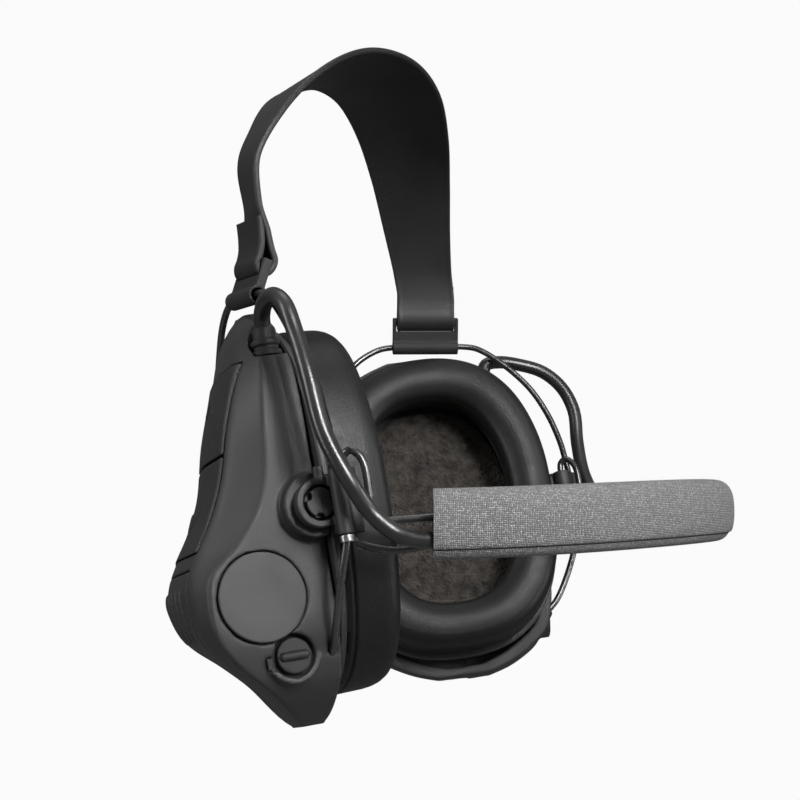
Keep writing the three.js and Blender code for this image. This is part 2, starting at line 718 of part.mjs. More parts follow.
// Where the strap leaves a loop: its middle, the way it starts off and the side of its front edge.
function strapEnd(loop) {
  loop.updateWorldMatrix(true, false);
  const at = new THREE.Vector3(0, 0, LOOP.top + GAP).applyMatrix4(loop.matrixWorld);
  const off = new THREE.Vector3(0, 0, LOOP.top + 5).applyMatrix4(loop.matrixWorld);
  const front = new THREE.Vector3(0, 1, LOOP.top + GAP).applyMatrix4(loop.matrixWorld).sub(at);
  return { at, off, front: front.normalize() };
}

function strap(leftLoop, rightLoop) {
  const ends = [strapEnd(leftLoop), strapEnd(rightLoop)];
  const middle = STRAP_ROUTE.map(({ at, width, turn, dip }) => {
    const angle = THREE.MathUtils.degToRad(turn);
    const side = new THREE.Vector3(Math.sin(angle), Math.cos(angle), (-2 * dip) / width);
    return { at: new THREE.Vector3(...at), width, side };
  });
  const endStations = (end) => [
    { at: end.at, width: STRAP.endWidth, side: end.front },
    { at: end.off, width: STRAP.endWidth, side: end.front },
  ];
  const stations = [...endStations(ends[0]), ...middle, ...endStations(ends[1]).reverse()];
  const through = (pick) => new THREE.CatmullRomCurve3(stations.map(pick), false, "centripetal");
  const path = through((s) => s.at);
  const side = through((s) => s.side.clone().multiplyScalar(s.width / 2));
  const count = (stations.length - 1) * 2;
  const rings = Array.from({ length: count + 1 }, (_, i) => {
    const across = side.getPoint(i / count);
    const normal = path.getTangent(i / count).cross(across).setLength(STRAP.thickness / 2);
    const middlePoint = path.getPoint(i / count);
    return strapSection(across, normal).map((p) => p.add(middlePoint));
  });
  return piece("overhead_strap", solid(skin(rings)), STRAP_RUBBER);
}

// The strap's section, with its edges rounded off.
function strapSection(across, normal) {
  const half = [[1, 0.35], [0.97, 1], [-0.97, 1], [-1, 0.35]];
  const shape = [...half, ...half.map(([a, n]) => [-a, -n])];
  return shape.map(([a, n]) => across.clone().multiplyScalar(a).addScaledVector(normal, n));
}

const model = new THREE.Group();
const mirrored = new THREE.Group();
mirrored.scale.x = -1;
mirrored.add(cup("right", RIGHT_TOE, RIGHT_ROLL, RIGHT_LEAN));
model.add(cup("left", LEFT_TOE, LEFT_ROLL, LEFT_LEAN), mirrored, ...neckband(), ...cables());
model.add(strap(model.getObjectByName("left_strap_loop"), model.getObjectByName("right_strap_loop")));

export default model;
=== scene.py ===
"""Radio headphones with a neckband and an overhead strap: the finished look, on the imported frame.

Metres, in the row frame. Sizes below are in millimetres and are scaled once, when a mesh is made.
Each cup is built in its own frame (x towards the ear, y forward, z up) and then set in place.
"""

import math

import bmesh
import bpy
import numpy as np
from mathutils import Euler, Matrix, Vector, noise


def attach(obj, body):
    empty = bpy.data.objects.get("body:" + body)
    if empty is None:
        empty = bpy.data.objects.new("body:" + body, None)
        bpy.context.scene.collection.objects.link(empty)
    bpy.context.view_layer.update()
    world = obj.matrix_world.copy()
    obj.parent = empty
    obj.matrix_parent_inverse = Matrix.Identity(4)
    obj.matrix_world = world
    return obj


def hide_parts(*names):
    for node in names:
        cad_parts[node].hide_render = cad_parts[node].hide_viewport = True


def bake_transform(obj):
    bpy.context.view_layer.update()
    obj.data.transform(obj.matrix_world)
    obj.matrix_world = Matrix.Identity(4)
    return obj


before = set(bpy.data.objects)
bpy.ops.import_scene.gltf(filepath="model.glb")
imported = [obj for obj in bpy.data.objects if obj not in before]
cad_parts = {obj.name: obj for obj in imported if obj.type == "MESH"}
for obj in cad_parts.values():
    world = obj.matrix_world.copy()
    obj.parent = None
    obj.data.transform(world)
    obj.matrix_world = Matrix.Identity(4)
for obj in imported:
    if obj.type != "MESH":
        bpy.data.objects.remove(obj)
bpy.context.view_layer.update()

MM = 0.001
SIDES = ("left", "right")

# ---- the frame's own sizes, in millimetres ----
SWIVEL = (90.5, 0, 6.6)
SWIVEL_IN_CUP = (1.8, -43, 0)
TOE = {"left": 46.5, "right": 26.5}
ROLL = {"left": 7.5, "right": 18}
LEAN = {"left": 25, "right": 30}
PITCH = 8
RIM = -2.7
WALL = 3
OVAL_POWER = 2.45

BAND_HALF_WIDTH = 90.5
BAND_DEPTH = 68
BAND_START = 18
BAND_DROOP = -1.2
BAND_RISE = 2.6
WIRE_RADIUS = 1
CABLE_RADIUS = 2.2

LEFT_CABLE = [
    (-83, 27.4, 50.7),
    (-84, 27, 52.5),
    (-87.5, 24.5, 55.5),
    (-91, 20.5, 57),
    (-95.5, 15, 54),
    (-97, 11.5, 47),
    (-100, 6.5, 36),
    (-101.5, 1.5, 21.5),
    (-101, -5, 10),
    (-97.5, -9.5, 2),
    (-95.5, -14.6, -2.5),
    (-91.3, -18.6, -4.3),
    (-88.1, -21.9, -4.6),
    (-86.6, -25.5, -4.5),
]
RIGHT_CABLE = [
    (99.8, 32, 47),
    (101.4, 31.5, 49.8),
    (104.5, 28, 50.8),
    (108.5, 22, 50),
    (112, 14.5, 47.5),
    (113.2, 8, 42),
    (112.5, 3.5, 34),
    (109, 1.2, 23),
    (104, -2.5, 12.5),
    (99.5, -8.5, 3.5),
    (95.5, -14.6, -2.5),
    (91.3, -18.6, -4.3),
    (88.1, -21.9, -4.6),
    (86.6, -25.5, -4.5),
]


def cup_matrix(side):
    """From a cup's own frame, in millimetres, to the row frame, in metres."""
    turn = Euler([-math.radians(a) for a in (PITCH, ROLL[side], TOE[side])], "XYZ")
    swivel = Matrix.Translation((-SWIVEL[0], SWIVEL[1], SWIVEL[2]))
    cup = swivel @ turn.to_matrix().to_4x4() @ Matrix.Translation(-Vector(SWIVEL_IN_CUP))
    if side == "right":
        cup = Matrix.Diagonal((-1, 1, 1, 1)) @ cup
    return Matrix.Scale(MM, 4) @ cup


CUP = {side: cup_matrix(side) for side in SIDES}


# ---- camera ----
CAMERA_AT = (-0.55209, -0.20062, 0.0099)
CAMERA_DIRECTION = (0.9264, 0.3743, 0.0401)
LENS = 90.7  # for a sensor 36 wide


def make_camera():
    data = bpy.data.cameras.new("camera")
    data.sensor_width = 36
    data.lens = LENS
    data.clip_start = 0.01
    camera = bpy.data.objects.new("camera", data)
    bpy.context.scene.collection.objects.link(camera)
    camera.location = CAMERA_AT
    camera.rotation_euler = Vector(CAMERA_DIRECTION).to_track_quat("-Z", "Y").to_euler()
    bpy.context.scene.camera = camera


make_camera()


# ---- mesh tools ----
def new_object(name, vertices, faces):
    mesh = bpy.data.meshes.new(name)
    mesh.from_pydata([tuple(v) for v in np.asarray(vertices, float)], [], faces)
    mesh.validate()
    obj = bpy.data.objects.new(name, mesh)
    bpy.context.scene.collection.objects.link(obj)
    recalculate_normals(obj)
    return obj


def recalculate_normals(obj):
    bm = bmesh.new()
    bm.from_mesh(obj.data)
    bmesh.ops.recalc_face_normals(bm, faces=bm.faces)
    bm.to_mesh(obj.data)
    bm.free()


def smooth(obj, angle=None):
    """Shades smooth, but for edges sharper than the angle."""
    obj.data.shade_smooth()
    if angle is not None:
        obj.data.set_sharp_from_angle(angle=math.radians(angle))
    return obj


def discard(obj):
    mesh = obj.data
    bpy.data.objects.remove(obj)
    bpy.data.meshes.remove(mesh)


def settle(obj):
    """Applies the modifiers."""
    bpy.context.view_layer.update()
    evaluated = obj.evaluated_get(bpy.context.evaluated_depsgraph_get())
    mesh = bpy.data.meshes.new_from_object(evaluated)
    old = obj.data
    obj.modifiers.clear()
    obj.data = mesh
    bpy.data.meshes.remove(old)
    return obj


def combine(base, others, operation):
    for other in others:
        modifier = base.modifiers.new("combine", "BOOLEAN")
        modifier.operation = operation
        modifier.solver = "MANIFOLD"
        modifier.object = other
        settle(base)
        discard(other)
    return base


def cut(base, *others):
    return combine(base, others, "DIFFERENCE")


def fuse(base, *others):
    return combine(base, others, "UNION")


def common(base, *others):
    return combine(base, others, "INTERSECT")


def skin(rings, closed=False):
    """A closed solid over rings of the same number of points; with closed, a ring-shaped one."""
    count = len(rings[0])
    vertices = [p for ring in rings for p in ring]
    faces = []
    spans = len(rings) if closed else len(rings) - 1
    for r in range(spans):
        here = r * count
        there = ((r + 1) % len(rings)) * count
        for i in range(count):
            j = (i + 1) % count
            faces.append((here + i, here + j, there + j, there + i))
    if not closed:
        for start, ring in ((0, rings[0]), ((len(rings) - 1) * count, rings[-1])):
            vertices.append(np.mean(np.asarray(ring, float), axis=0))
            hub = len(vertices) - 1
            faces += [(start + i, start + (i + 1) % count, hub) for i in range(count)]
    return new_object("skin", vertices, faces)


def box(low, high):
    x, y, z = zip(low, high)
    ring = [(x[0], y[0]), (x[1], y[0]), (x[1], y[1]), (x[0], y[1])]
    vertices = [(a, b, c) for c in z for a, b in ring]
    faces = [(0, 1, 2, 3), (4, 5, 6, 7)]
    faces += [(i, (i + 1) % 4, 4 + (i + 1) % 4, 4 + i) for i in range(4)]
    return new_object("box", vertices, faces)


def turned(profile, axis, at=(0, 0, 0), count=64):
    """A solid of revolution from (radius, height) pairs, along axis "x", "y" or "z"."""
    order = {"x": (2, 0, 1), "y": (1, 2, 0), "z": (0, 1, 2)}[axis]
    rings = []
    for radius, height in profile:
        radius = max(radius, 0.001)
        ring = []
        for i in range(count):
            angle = 2 * math.pi * i / count
            flat = (radius * math.cos(angle), radius * math.sin(angle), height)
            ring.append([flat[k] + at[n] for n, k in enumerate(order)])
        rings.append(ring)
    return skin(rings)


def rod(radius, low, high, axis, at, count=48):
    return turned([(radius, low), (radius, high)], axis, at, count)


def corner_curve(before, corner, after, reach, share=0.48, steps=4):
    """An arc-like curve in place of a corner, taking at most that share of the line on either side."""
    here = Vector(corner)
    one, two = Vector(before) - here, Vector(after) - here
    start = here + one.normalized() * min(reach, one.length * share)
    end = here + two.normalized() * min(reach, two.length * share)
    curve = []
    for i in range(steps + 1):
        t = i / steps
        curve.append(tuple(start * (1 - t) ** 2 + here * (2 * t * (1 - t)) + end * t**2))
    return curve


def rounded(points, radius, steps=4):
    """The same open line of (a, b) points, with an arc-like curve at each inner corner."""
    result = [points[0]]
    for before, corner, after in zip(points, points[1:], points[2:]):
        here = Vector(corner)
        shorter = min((Vector(before) - here).length, (Vector(after) - here).length)
        result += corner_curve(before, corner, after, min(radius, shorter * 0.48), steps=steps)
    result.append(points[-1])
    return result


def catmull_rom(points, steps):
    """Centripetal Catmull-Rom through the points, with the same number of steps between each pair."""
    p = [np.asarray(q, float) for q in points]
    p = [2 * p[0] - p[1], *p, 2 * p[-1] - p[-2]]
    line = []
    for a, b, c, d in zip(p, p[1:], p[2:], p[3:]):
        t0 = 0.0
        t1 = t0 + max(np.linalg.norm(b - a), 1e-6) ** 0.5
        t2 = t1 + max(np.linalg.norm(c - b), 1e-6) ** 0.5
        t3 = t2 + max(np.linalg.norm(d - c), 1e-6) ** 0.5
        for i in range(steps):
            t = t1 + (t2 - t1) * i / steps
            a1 = ((t1 - t) * a + (t - t0) * b) / (t1 - t0)
            a2 = ((t2 - t) * b + (t - t1) * c) / (t2 - t1)
            a3 = ((t3 - t) * c + (t - t2) * d) / (t3 - t2)
            b1 = ((t2 - t) * a1 + (t - t0) * a2) / (t2 - t0)
            b2 = ((t3 - t) * a2 + (t - t1) * a3) / (t3 - t1)
            line.append(((t2 - t) * b1 + (t - t1) * b2) / (t2 - t1))
    line.append(p[-2])
    return np.array(line)


def tube(line, radius, sides=16):
    """A round bar along a line of points."""
    tangent = np.gradient(line, axis=0)
    tangent /= np.linalg.norm(tangent, axis=1)[:, None]
    across = np.cross(tangent[0], (0.3, 0.5, 0.8))
    rings = []
    for point, along in zip(line, tangent):
        across = across - along * np.dot(across, along)
        across /= np.linalg.norm(across)
        side = np.cross(along, across)
        angles = np.arange(sides) * 2 * math.pi / sides
        ring = np.outer(np.cos(angles), across) + np.outer(np.sin(angles), side)
        rings.append(point + radius * ring)
    return skin(rings)


def moulded(obj, voxel, relax, keep=1.0):
    """Rounds every edge a little, as moulding does: a fine voxel remesh, then a few smoothing steps.

    keep is the share of the faces that is left after thinning.
    """
    remesh = obj.modifiers.new("remesh", "REMESH")
    remesh.mode = "VOXEL"
    remesh.voxel_size = voxel
    relaxed = obj.modifiers.new("relax", "SMOOTH")
    relaxed.factor = 0.5
    relaxed.iterations = relax
    if keep < 1:
        thin = obj.modifiers.new("thin", "DECIMATE")
        thin.ratio = keep
    settle(obj)
    return smooth(obj)


def set_in_cups(source, word, material, body="cup"):
    """One copy of a piece in each cup's place, standing for that cup's node."""
    placed = {}
    for side in SIDES:
        mesh = source.data.copy()
        mesh.transform(CUP[side])
        if side == "right":
            mesh.flip_normals()
        placed[side] = dress(mesh, f"{side}_{word}_piece", material)
        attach(placed[side], f"{side}_{body}")
        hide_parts(f"{side}_{word}")
    discard(source)
    return placed


def dress(mesh, name, material):
    obj = bpy.data.objects.new(name, mesh)
    mesh.name = name
    bpy.context.scene.collection.objects.link(obj)
    mesh.materials.clear()
    mesh.materials.append(material)
    return obj


def set_in_row(source, name, material, angle=60):
    """A piece that was made in the row's own frame, scaled to metres and dressed."""
    source.data.transform(Matrix.Scale(MM, 4))
    smooth(source, angle)
    mesh = source.data.copy()
    discard(source)
    return dress(mesh, name, material)


# ---- materials ----
class Nodes:
    """A short way to write one material's nodes."""

    def __init__(self, name, color, roughness, metallic=0.0):
        self.material = bpy.data.materials.new(name)
        self.material.use_nodes = True
        self.tree = self.material.node_tree
        self.shader = self.tree.nodes["Principled BSDF"]
        self.shader.inputs["Base Color"].default_value = (*color, 1)
        self.shader.inputs["Roughness"].default_value = roughness
        self.shader.inputs["Metallic"].default_value = metallic
        self.place = self.add("ShaderNodeTexCoord").outputs["Object"]

    def add(self, kind, **settings):
        node = self.tree.nodes.new(kind)
        for key, value in settings.items():
            setattr(node, key, value)
        return node

    def link(self, output, target):
        self.tree.links.new(output, target)

    def value(self, target, source):
        if isinstance(source, (int, float)):
            target.default_value = source
        else:
            self.link(source, target)

    def math(self, operation, *values):
        node = self.add("ShaderNodeMath", operation=operation)
        for target, source in zip(node.inputs, values):
            self.value(target, source)
        return node.outputs[0]

    def noise(self, scale, detail=2.0, roughness=0.5, place=None):
        node = self.add("ShaderNodeTexNoise")
        self.link(place or self.place, node.inputs["Vector"])
        node.inputs["Scale"].default_value = scale
        node.inputs["Detail"].default_value = detail
        node.inputs["Roughness"].default_value = roughness
        return node.outputs["Fac"]

    def cells(self, scale, feature="F1"):
        node = self.add("ShaderNodeTexVoronoi", feature=feature)
        self.link(self.place, node.inputs["Vector"])
        node.inputs["Scale"].default_value = scale
        return node.outputs["Distance"]

    def stretch(self, source, low, high, new_low, new_high):
        node = self.add("ShaderNodeMapRange")
        self.link(source, node.inputs["Value"])
        numbers = {"From Min": low, "From Max": high, "To Min": new_low, "To Max": new_high}
        for key, number in numbers.items():
            node.inputs[key].default_value = number
        return node.outputs[0]

    def mix(self, factor, one, two):
        node = self.add("ShaderNodeMix", data_type="RGBA")
        self.value(node.inputs["Factor"], factor)
        for key, color in (("A", one), ("B", two)):
            target = [s for s in node.inputs if s.name == key and s.type == "RGBA"][0]
            if isinstance(color, tuple):
                target.default_value = (*color, 1)
            else:
                self.link(color, target)
        return [s for s in node.outputs if s.type == "RGBA"][0]

    def color(self, output):
        self.link(output, self.shader.inputs["Base Color"])

    def rough(self, output):
        self.link(output, self.shader.inputs["Roughness"])

    def bump(self, *layers):
        """Layers of (height, distance in metres), one on the other."""
        normal = None
        for height, distance in layers:
            node = self.add("ShaderNodeBump")
            node.inputs["Strength"].default_value = 1
            node.inputs["Distance"].default_value = distance
            self.link(height, node.inputs["Height"])
            if normal is not None:
                self.link(normal, node.inputs["Normal"])
            normal = node.outputs["Normal"]
        self.link(normal, self.shader.inputs["Normal"])


def grey(level):
    return (level, level, level)


def moulded_plastic(name, level, roughness):
    """Spark-eroded moulding: a fine even grain, with the faint cloudiness of handling."""
    n = Nodes(name, grey(level), roughness)
    cloud = n.noise(45, 4, 0.55)
    grain = n.noise(3800, 3, 0.6)
    n.color(n.mix(n.stretch(cloud, 0.3, 0.7, 0, 1), grey(level * 0.86), grey(level * 1.16)))
    n.rough(n.stretch(cloud, 0.3, 0.7, roughness - 0.05, roughness + 0.06))
    n.bump((grain, 0.00006))
    return n.material


def soft_rubber(name, level, roughness=0.66):
    """Matte rubber, with the pale bloom of dust in places."""
    n = Nodes(name, grey(level), roughness)
    dust = n.noise(160, 5, 0.65)
    n.color(n.mix(n.stretch(dust, 0.45, 0.75, 0, 1), grey(level), grey(level * 1.5)))
    n.rough(n.stretch(dust, 0.3, 0.7, roughness - 0.05, roughness + 0.08))
    n.bump((n.noise(5200, 2), 0.00004))
    return n.material


def leatherette():
    """Protein leather: pebbled cells with fine creases and a soft shine."""
    level = 0.007
    n = Nodes("leatherette", grey(level), 0.46)
    n.shader.inputs["Specular IOR Level"].default_value = 0.36
    pebbles = n.cells(2100, "SMOOTH_F1")
    creases = n.noise(420, 5, 0.62)
    n.color(n.mix(n.stretch(n.noise(60, 3), 0.3, 0.7, 0, 1), grey(level * 0.85), grey(level * 1.25)))
    n.rough(n.stretch(creases, 0.3, 0.7, 0.4, 0.54))
    n.bump((pebbles, 0.00004), (creases, 0.00003))
    return n.material


def acoustic_foam():
    """Open-cell foam: paler, brownish clumps, with painted shade in the low places between them; the pores
    are in the bump only.
    """
    n = Nodes("acoustic_foam", grey(0.05), 0.95)
    pores = n.cells(900)
    clumps = n.noise(260, 5, 0.7)
    painted_hollow_shade, light = (0.018, 0.015, 0.013), (0.085, 0.075, 0.066)
    # Painted shade: the same noise raises the clumps, so the colour goes dark where they are low.
    n.color(n.mix(n.stretch(clumps, 0.35, 0.68, 0, 1), painted_hollow_shade, light))
    n.bump((pores, 0.0007), (clumps, 0.0008))
    return n.material


def coated_steel():
    """Dark plated spring wire, a little paler where it is worn."""
    n = Nodes("coated_steel", grey(0.13), 0.28, 0.9)
    wear = n.noise(300, 4, 0.6)
    n.color(n.mix(n.stretch(wear, 0.6, 0.8, 0, 1), grey(0.13), grey(0.22)))
    n.rough(n.stretch(wear, 0.3, 0.7, 0.22, 0.36))
    n.bump((n.noise(1500, 2), 0.00002))
    return n.material


def bright_steel():
    """Bare steel with fine handling marks."""
    n = Nodes("bright_steel", grey(0.42), 0.3, 1.0)
    marks = n.noise(900, 3, 0.6)
    n.rough(n.stretch(marks, 0.3, 0.7, 0.24, 0.42))
    n.bump((marks, 0.00002))
    return n.material


def strap_rubber():
    """Smooth dark rubber with a fine grain."""
    level = 0.012
    n = Nodes("strap_rubber", grey(level), 0.5)
    cloud = n.noise(38, 4, 0.5)
    n.color(n.mix(n.stretch(cloud, 0.3, 0.7, 0, 1), grey(level * 0.8), grey(level * 1.35)))
    n.rough(n.stretch(cloud, 0.3, 0.7, 0.44, 0.58))
    n.bump((n.noise(2600, 3, 0.6), 0.00005))
    return n.material


def cable_jacket():
    """Glossy cable rubber, which takes a narrow highlight along its length."""
    level = 0.016
    n = Nodes("cable_jacket", grey(level), 0.3)
    n.shader.inputs["Specular IOR Level"].default_value = 0.8
    cloud = n.noise(90, 3)
    n.color(n.mix(n.stretch(cloud, 0.3, 0.7, 0, 1), grey(level * 0.85), grey(level * 1.25)))
    n.rough(n.stretch(cloud, 0.3, 0.7, 0.25, 0.37))
    n.bump((n.noise(2200, 3), 0.00003))
    return n.material


THREAD = 0.46 * MM  # pitch of the sleeve's weave


def heather_cloth(seam):
    """Plain weave: the UV map is in metres along and around the sleeve, with its seam at v = seam."""
    n = Nodes("heather_cloth", grey(0.2), 0.93)
    uv = n.add("ShaderNodeUVMap", uv_map="cloth").outputs[0]
    wander = n.add("ShaderNodeVectorMath", operation="SCALE")
    n.link(uv, wander.inputs[0])
    wander.inputs["Scale"].default_value = 1 / THREAD
    place = wander.outputs[0]
    parts = n.add("ShaderNodeSeparateXYZ")
    n.link(place, parts.inputs[0])
    drift = n.math("MULTIPLY", n.math("SUBTRACT", n.noise(0.35, 2, place=place), 0.5), 0.9)
    u = n.math("ADD", parts.outputs["X"], drift)
    v = n.math("ADD", parts.outputs["Y"], n.math("MULTIPLY", drift, 0.7))
    cell_u, cell_v = n.math("FLOOR", u), n.math("FLOOR", v)
    parity = n.math("MODULO", n.math("ABSOLUTE", n.math("ADD", cell_u, cell_v)), 2.0)
    over_u = n.math("ABSOLUTE", n.math("SINE", n.math("MULTIPLY", u, math.pi)))
    over_v = n.math("ABSOLUTE", n.math("SINE", n.math("MULTIPLY", v, math.pi)))
    blend_a = n.math("MULTIPLY", over_u, n.math("POWER", over_v, 0.35))
    blend_b = n.math("MULTIPLY", over_v, n.math("POWER", over_u, 0.35))
    flip = n.math("SUBTRACT", 1.0, parity)
    height = n.math("ADD", n.math("MULTIPLY", blend_a, parity), n.math("MULTIPLY", blend_b, flip))
    cell = n.add("ShaderNodeCombineXYZ")
    n.link(cell_u, cell.inputs["X"])
    n.link(cell_v, cell.inputs["Y"])
    fleck = n.add("ShaderNodeTexWhiteNoise", noise_dimensions="2D")
    n.link(cell.outputs[0], fleck.inputs["Vector"])
    speckle = n.math("POWER", fleck.outputs["Value"], 3)
    yarn = n.noise(0.9, 4, 0.65, place=place)
    tone = n.math("ADD", n.math("MULTIPLY", speckle, 0.5), n.math("MULTIPLY", yarn, 0.6))
    shade = n.mix(n.stretch(tone, 0.15, 0.95, 0, 1), grey(0.18), grey(0.6))
    # Painted shade: the colour goes dark where the weave's height is low, in the dips between threads.
    weave_with_painted_shade = n.mix(n.stretch(height, 0.1, 0.8, 0, 1), grey(0.085), shade)
    metres = n.add("ShaderNodeSeparateXYZ")
    n.link(uv, metres.inputs[0])
    beside = n.math("ABSOLUTE", n.math("SUBTRACT", metres.outputs["Y"], seam))
    n.color(n.mix(n.stretch(beside, 0.00012, 0.00045, 0, 1), grey(0.015), weave_with_painted_shade))
    n.bump((height, 0.0002))
    return n.material


def circuit_green():
    """Solder mask, with paler tracks."""
    n = Nodes("circuit_green", (0.012, 0.06, 0.02), 0.45)
    tracks = n.cells(420)
    n.color(n.mix(n.stretch(tracks, 0.05, 0.12, 0, 1), (0.03, 0.11, 0.04), (0.008, 0.045, 0.015)))
    return n.material


def battery_jacket():
    """A scuffed plastic sleeve."""
    n = Nodes("battery_jacket", (0.09, 0.1, 0.11), 0.35)
    scuffs = n.noise(400, 4, 0.6)
    n.color(n.mix(n.stretch(scuffs, 0.5, 0.75, 0, 1), (0.08, 0.09, 0.1), (0.16, 0.17, 0.18)))
    n.rough(n.stretch(scuffs, 0.3, 0.7, 0.28, 0.45))
    return n.material


SHELL = moulded_plastic("shell_plastic", 0.03, 0.5)
DISC_FINISH = moulded_plastic("disc_plastic", 0.055, 0.6)
RUBBER = soft_rubber("soft_rubber", 0.014)
KEY_RUBBER = soft_rubber("key_rubber", 0.018, 0.6)
POST_RUBBER = soft_rubber("post_rubber", 0.034, 0.5)
LEATHER = leatherette()
FOAM = acoustic_foam()
WIRE_STEEL = coated_steel()
BRIGHT = bright_steel()
STRAP_FINISH = strap_rubber()
JACKET = cable_jacket()


# ---- cables ----
def make_cable(side, route):
    line = catmull_rom(route, 5)
    cable = tube(line, CABLE_RADIUS, 20)
    cable = set_in_row(cable, f"{side}_cable_piece", JACKET)
    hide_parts(f"{side}_cable")
    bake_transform(cable)


make_cable("left", LEFT_CABLE)
make_cable("right", RIGHT_CABLE)


# ---- housing ----
# Height, half length along y, depth of the outer face behind the rim, depth of the rear wall's edge,
# and the shares of that depth left in the middle of the face and towards the front.
HOUSING_LEVELS = np.array(
    [
        (-55.5, 9, 7, 6.5, 0.8, 0.6),
        (-52, 18, 11.5, 11, 0.7, 0.45),
        (-45, 28, 19.5, 19, 0.65, 0.38),
        (-37, 32, 28.5, 27.5, 0.77, 0.5),
        (-29, 33.6, 34, 32, 0.92, 0.69),
        (-20, 34, 35.4, 32.4, 0.98, 0.78),
        (-14, 34, 34.4, 30.5, 0.98, 0.79),
        (-8, 34, 31.4, 23, 0.98, 0.76),
        (0, 34, 26.5, 16.5, 0.97, 0.7),
        (10, 34, 22, 12.6, 0.96, 0.66),
        (23, 33.6, 18.4, 11, 0.95, 0.63),
        (35, 31.5, 14.2, 9, 0.94, 0.56),
        (45, 25.5, 10, 7, 0.94, 0.58),
        (51, 17.5, 6.6, 5.2, 0.95, 0.65),
        (54.5, 8, 3.8, 3.2, 1, 0.75),
    ]
)
FRONT_SHOULDER = 9
REAR_SHOULDER = 8
DISC = {"x": -21.6, "z": -21.6, "radius": 11.3, "y": -34}
PORT = {"x": -15.4, "z": -37.1, "radius": 4.5, "bore": 3.7, "y": -32}
POST = {"x": -5.2, "z": -1, "boss": 8.3, "radius": 3.75, "eye": 6.25, "hole": 4.5}
GLAND = {"x": -7, "y": -25, "bottom": 39.5, "top": 47.2}
KEY = {"back": -24, "front": 18, "thickness": 1.6, "proud": 0.5}
KEY_ROOM = 1.2  # under a key: its 0.6 of travel and some air
KEY_ROWS = {"volume_up": (16.2, 39), "volume_down": (-7.6, 15.4)}
DOOR = {"bottom": -34.5, "top": -12, "back": -23, "front": 20, "skin": 2.2}
FRONT_ANCHOR = (-6, 2.5)
GAP = 0.3
FAR = 60  # beyond the outside of a cup


def level_values(count):
    """The housing's levels with smooth values between them."""
    rows = []
    last = len(HOUSING_LEVELS) - 1
    for i in range(last):
        before, here = HOUSING_LEVELS[max(i - 1, 0)], HOUSING_LEVELS[i]
        there, after = HOUSING_LEVELS[i + 1], HOUSING_LEVELS[min(i + 2, last)]
        slope_here, slope_there = (there - before) / 2, (after - here) / 2
        for step in range(count):
            t = step / count
            square, cube = t * t, t**3
            rows.append(
                here * (2 * cube - 3 * square + 1)
                + slope_here * (cube - 2 * square + t)
                + there * (3 * square - 2 * cube)
                + slope_there * (cube - square)
            )
    rows.append(HOUSING_LEVELS[-1])
    return rows


def housing_section(row, offset, rim):
    """The outline at one level, as (x, y): a flat side at the rim, two walls and the folded outer face."""
    _, half, depth, edge, middle, front = row
    half = half + offset
    back, rear = depth - RIM + offset, edge - RIM + offset
    middle_back = depth * middle - RIM + offset
    front_back, front_edge = depth * front - RIM + offset, edge * front - RIM + offset
    corners = [
        (rim, -half, 0),
        (rim, half, 0),
        (-front_edge, half, 2.2),
        (-front_back, half - FRONT_SHOULDER, 5),
        (-middle_back, -2, 8),
        (-back, -half + REAR_SHOULDER, 3),
        (-rear, -half, 1),
    ]
    points = []
    for i, (x, y, reach) in enumerate(corners):
        if reach == 0:
            points.append((x, y))
            continue
        before, after = corners[i - 1][:2], corners[(i + 1) % len(corners)][:2]
        points += corner_curve(before, (x, y), after, reach, share=0.45, steps=6)
    return points


def housing_form(offset, rim):
    """The housing as a full solid, its walls moved out by the offset; rim is the x of its flat side."""
    top = HOUSING_LEVELS[-1][0]
    stretch = (top + offset) / top
    rings = []
    for row in level_values(5):
        z = row[0] * stretch
        rings.append([(x, y, z) for x, y in housing_section(row, offset, rim)])
    return skin(rings)


def key_zone(name, grow=0.0):
    """The space that a key takes, through the outer wall."""
    bottom, top = KEY_ROWS[name]
    low = (-FAR, KEY["back"] - grow, bottom - grow)
    return box(low, (0, KEY["front"] + grow, top + grow))


def door_zone(grow=0.0):
    """The space that the battery door takes, through the outer wall."""
    low = (-FAR, DOOR["back"] - grow, DOOR["bottom"] - grow)
    return box(low, (-20, DOOR["front"] + grow, DOOR["top"] + grow))


# From the hole in the rear wall up through the hinge block, over the top and down to the front lug.
HOOP_ROUTE = [
    (-5, -31, -38),
    (-4.9, -34.8, -34.5),
    (-4.4, -39.6, -27),
    (-3, -43.6, -18.5),
    (-1.4, -46, -11),
    (-1.2, -46.2, -4),
    (-1.2, -46.2, 4),
    (-1.4, -46.1, 10),
    (-2.4, -45.6, 19),
    (-3.2, -43.2, 30),
    (-3.5, -38.8, 40),
    (-3.7, -31, 50),
    (-4.1, -24.2, 56),
    (-4.25, -20, 57.5),
    (-4.25, -8.2, 59),
    (-4.25, 4, 60.55),
    (-4.3, 10, 60.2),
    (-4.4, 18, 56.4),
    (-4.6, 24.6, 49.6),
    (-4.7, 33.4, 38),
    (-5.1, 36.8, 25),
    (-5.6, 37.6, 13),
    (-6, 37, 6),
    (-6, 34.6, 2.5),
    (-6, 31.2, 2.5),
]


def hoop(radius):
    return tube(catmull_rom(HOOP_ROUTE, 5), radius)


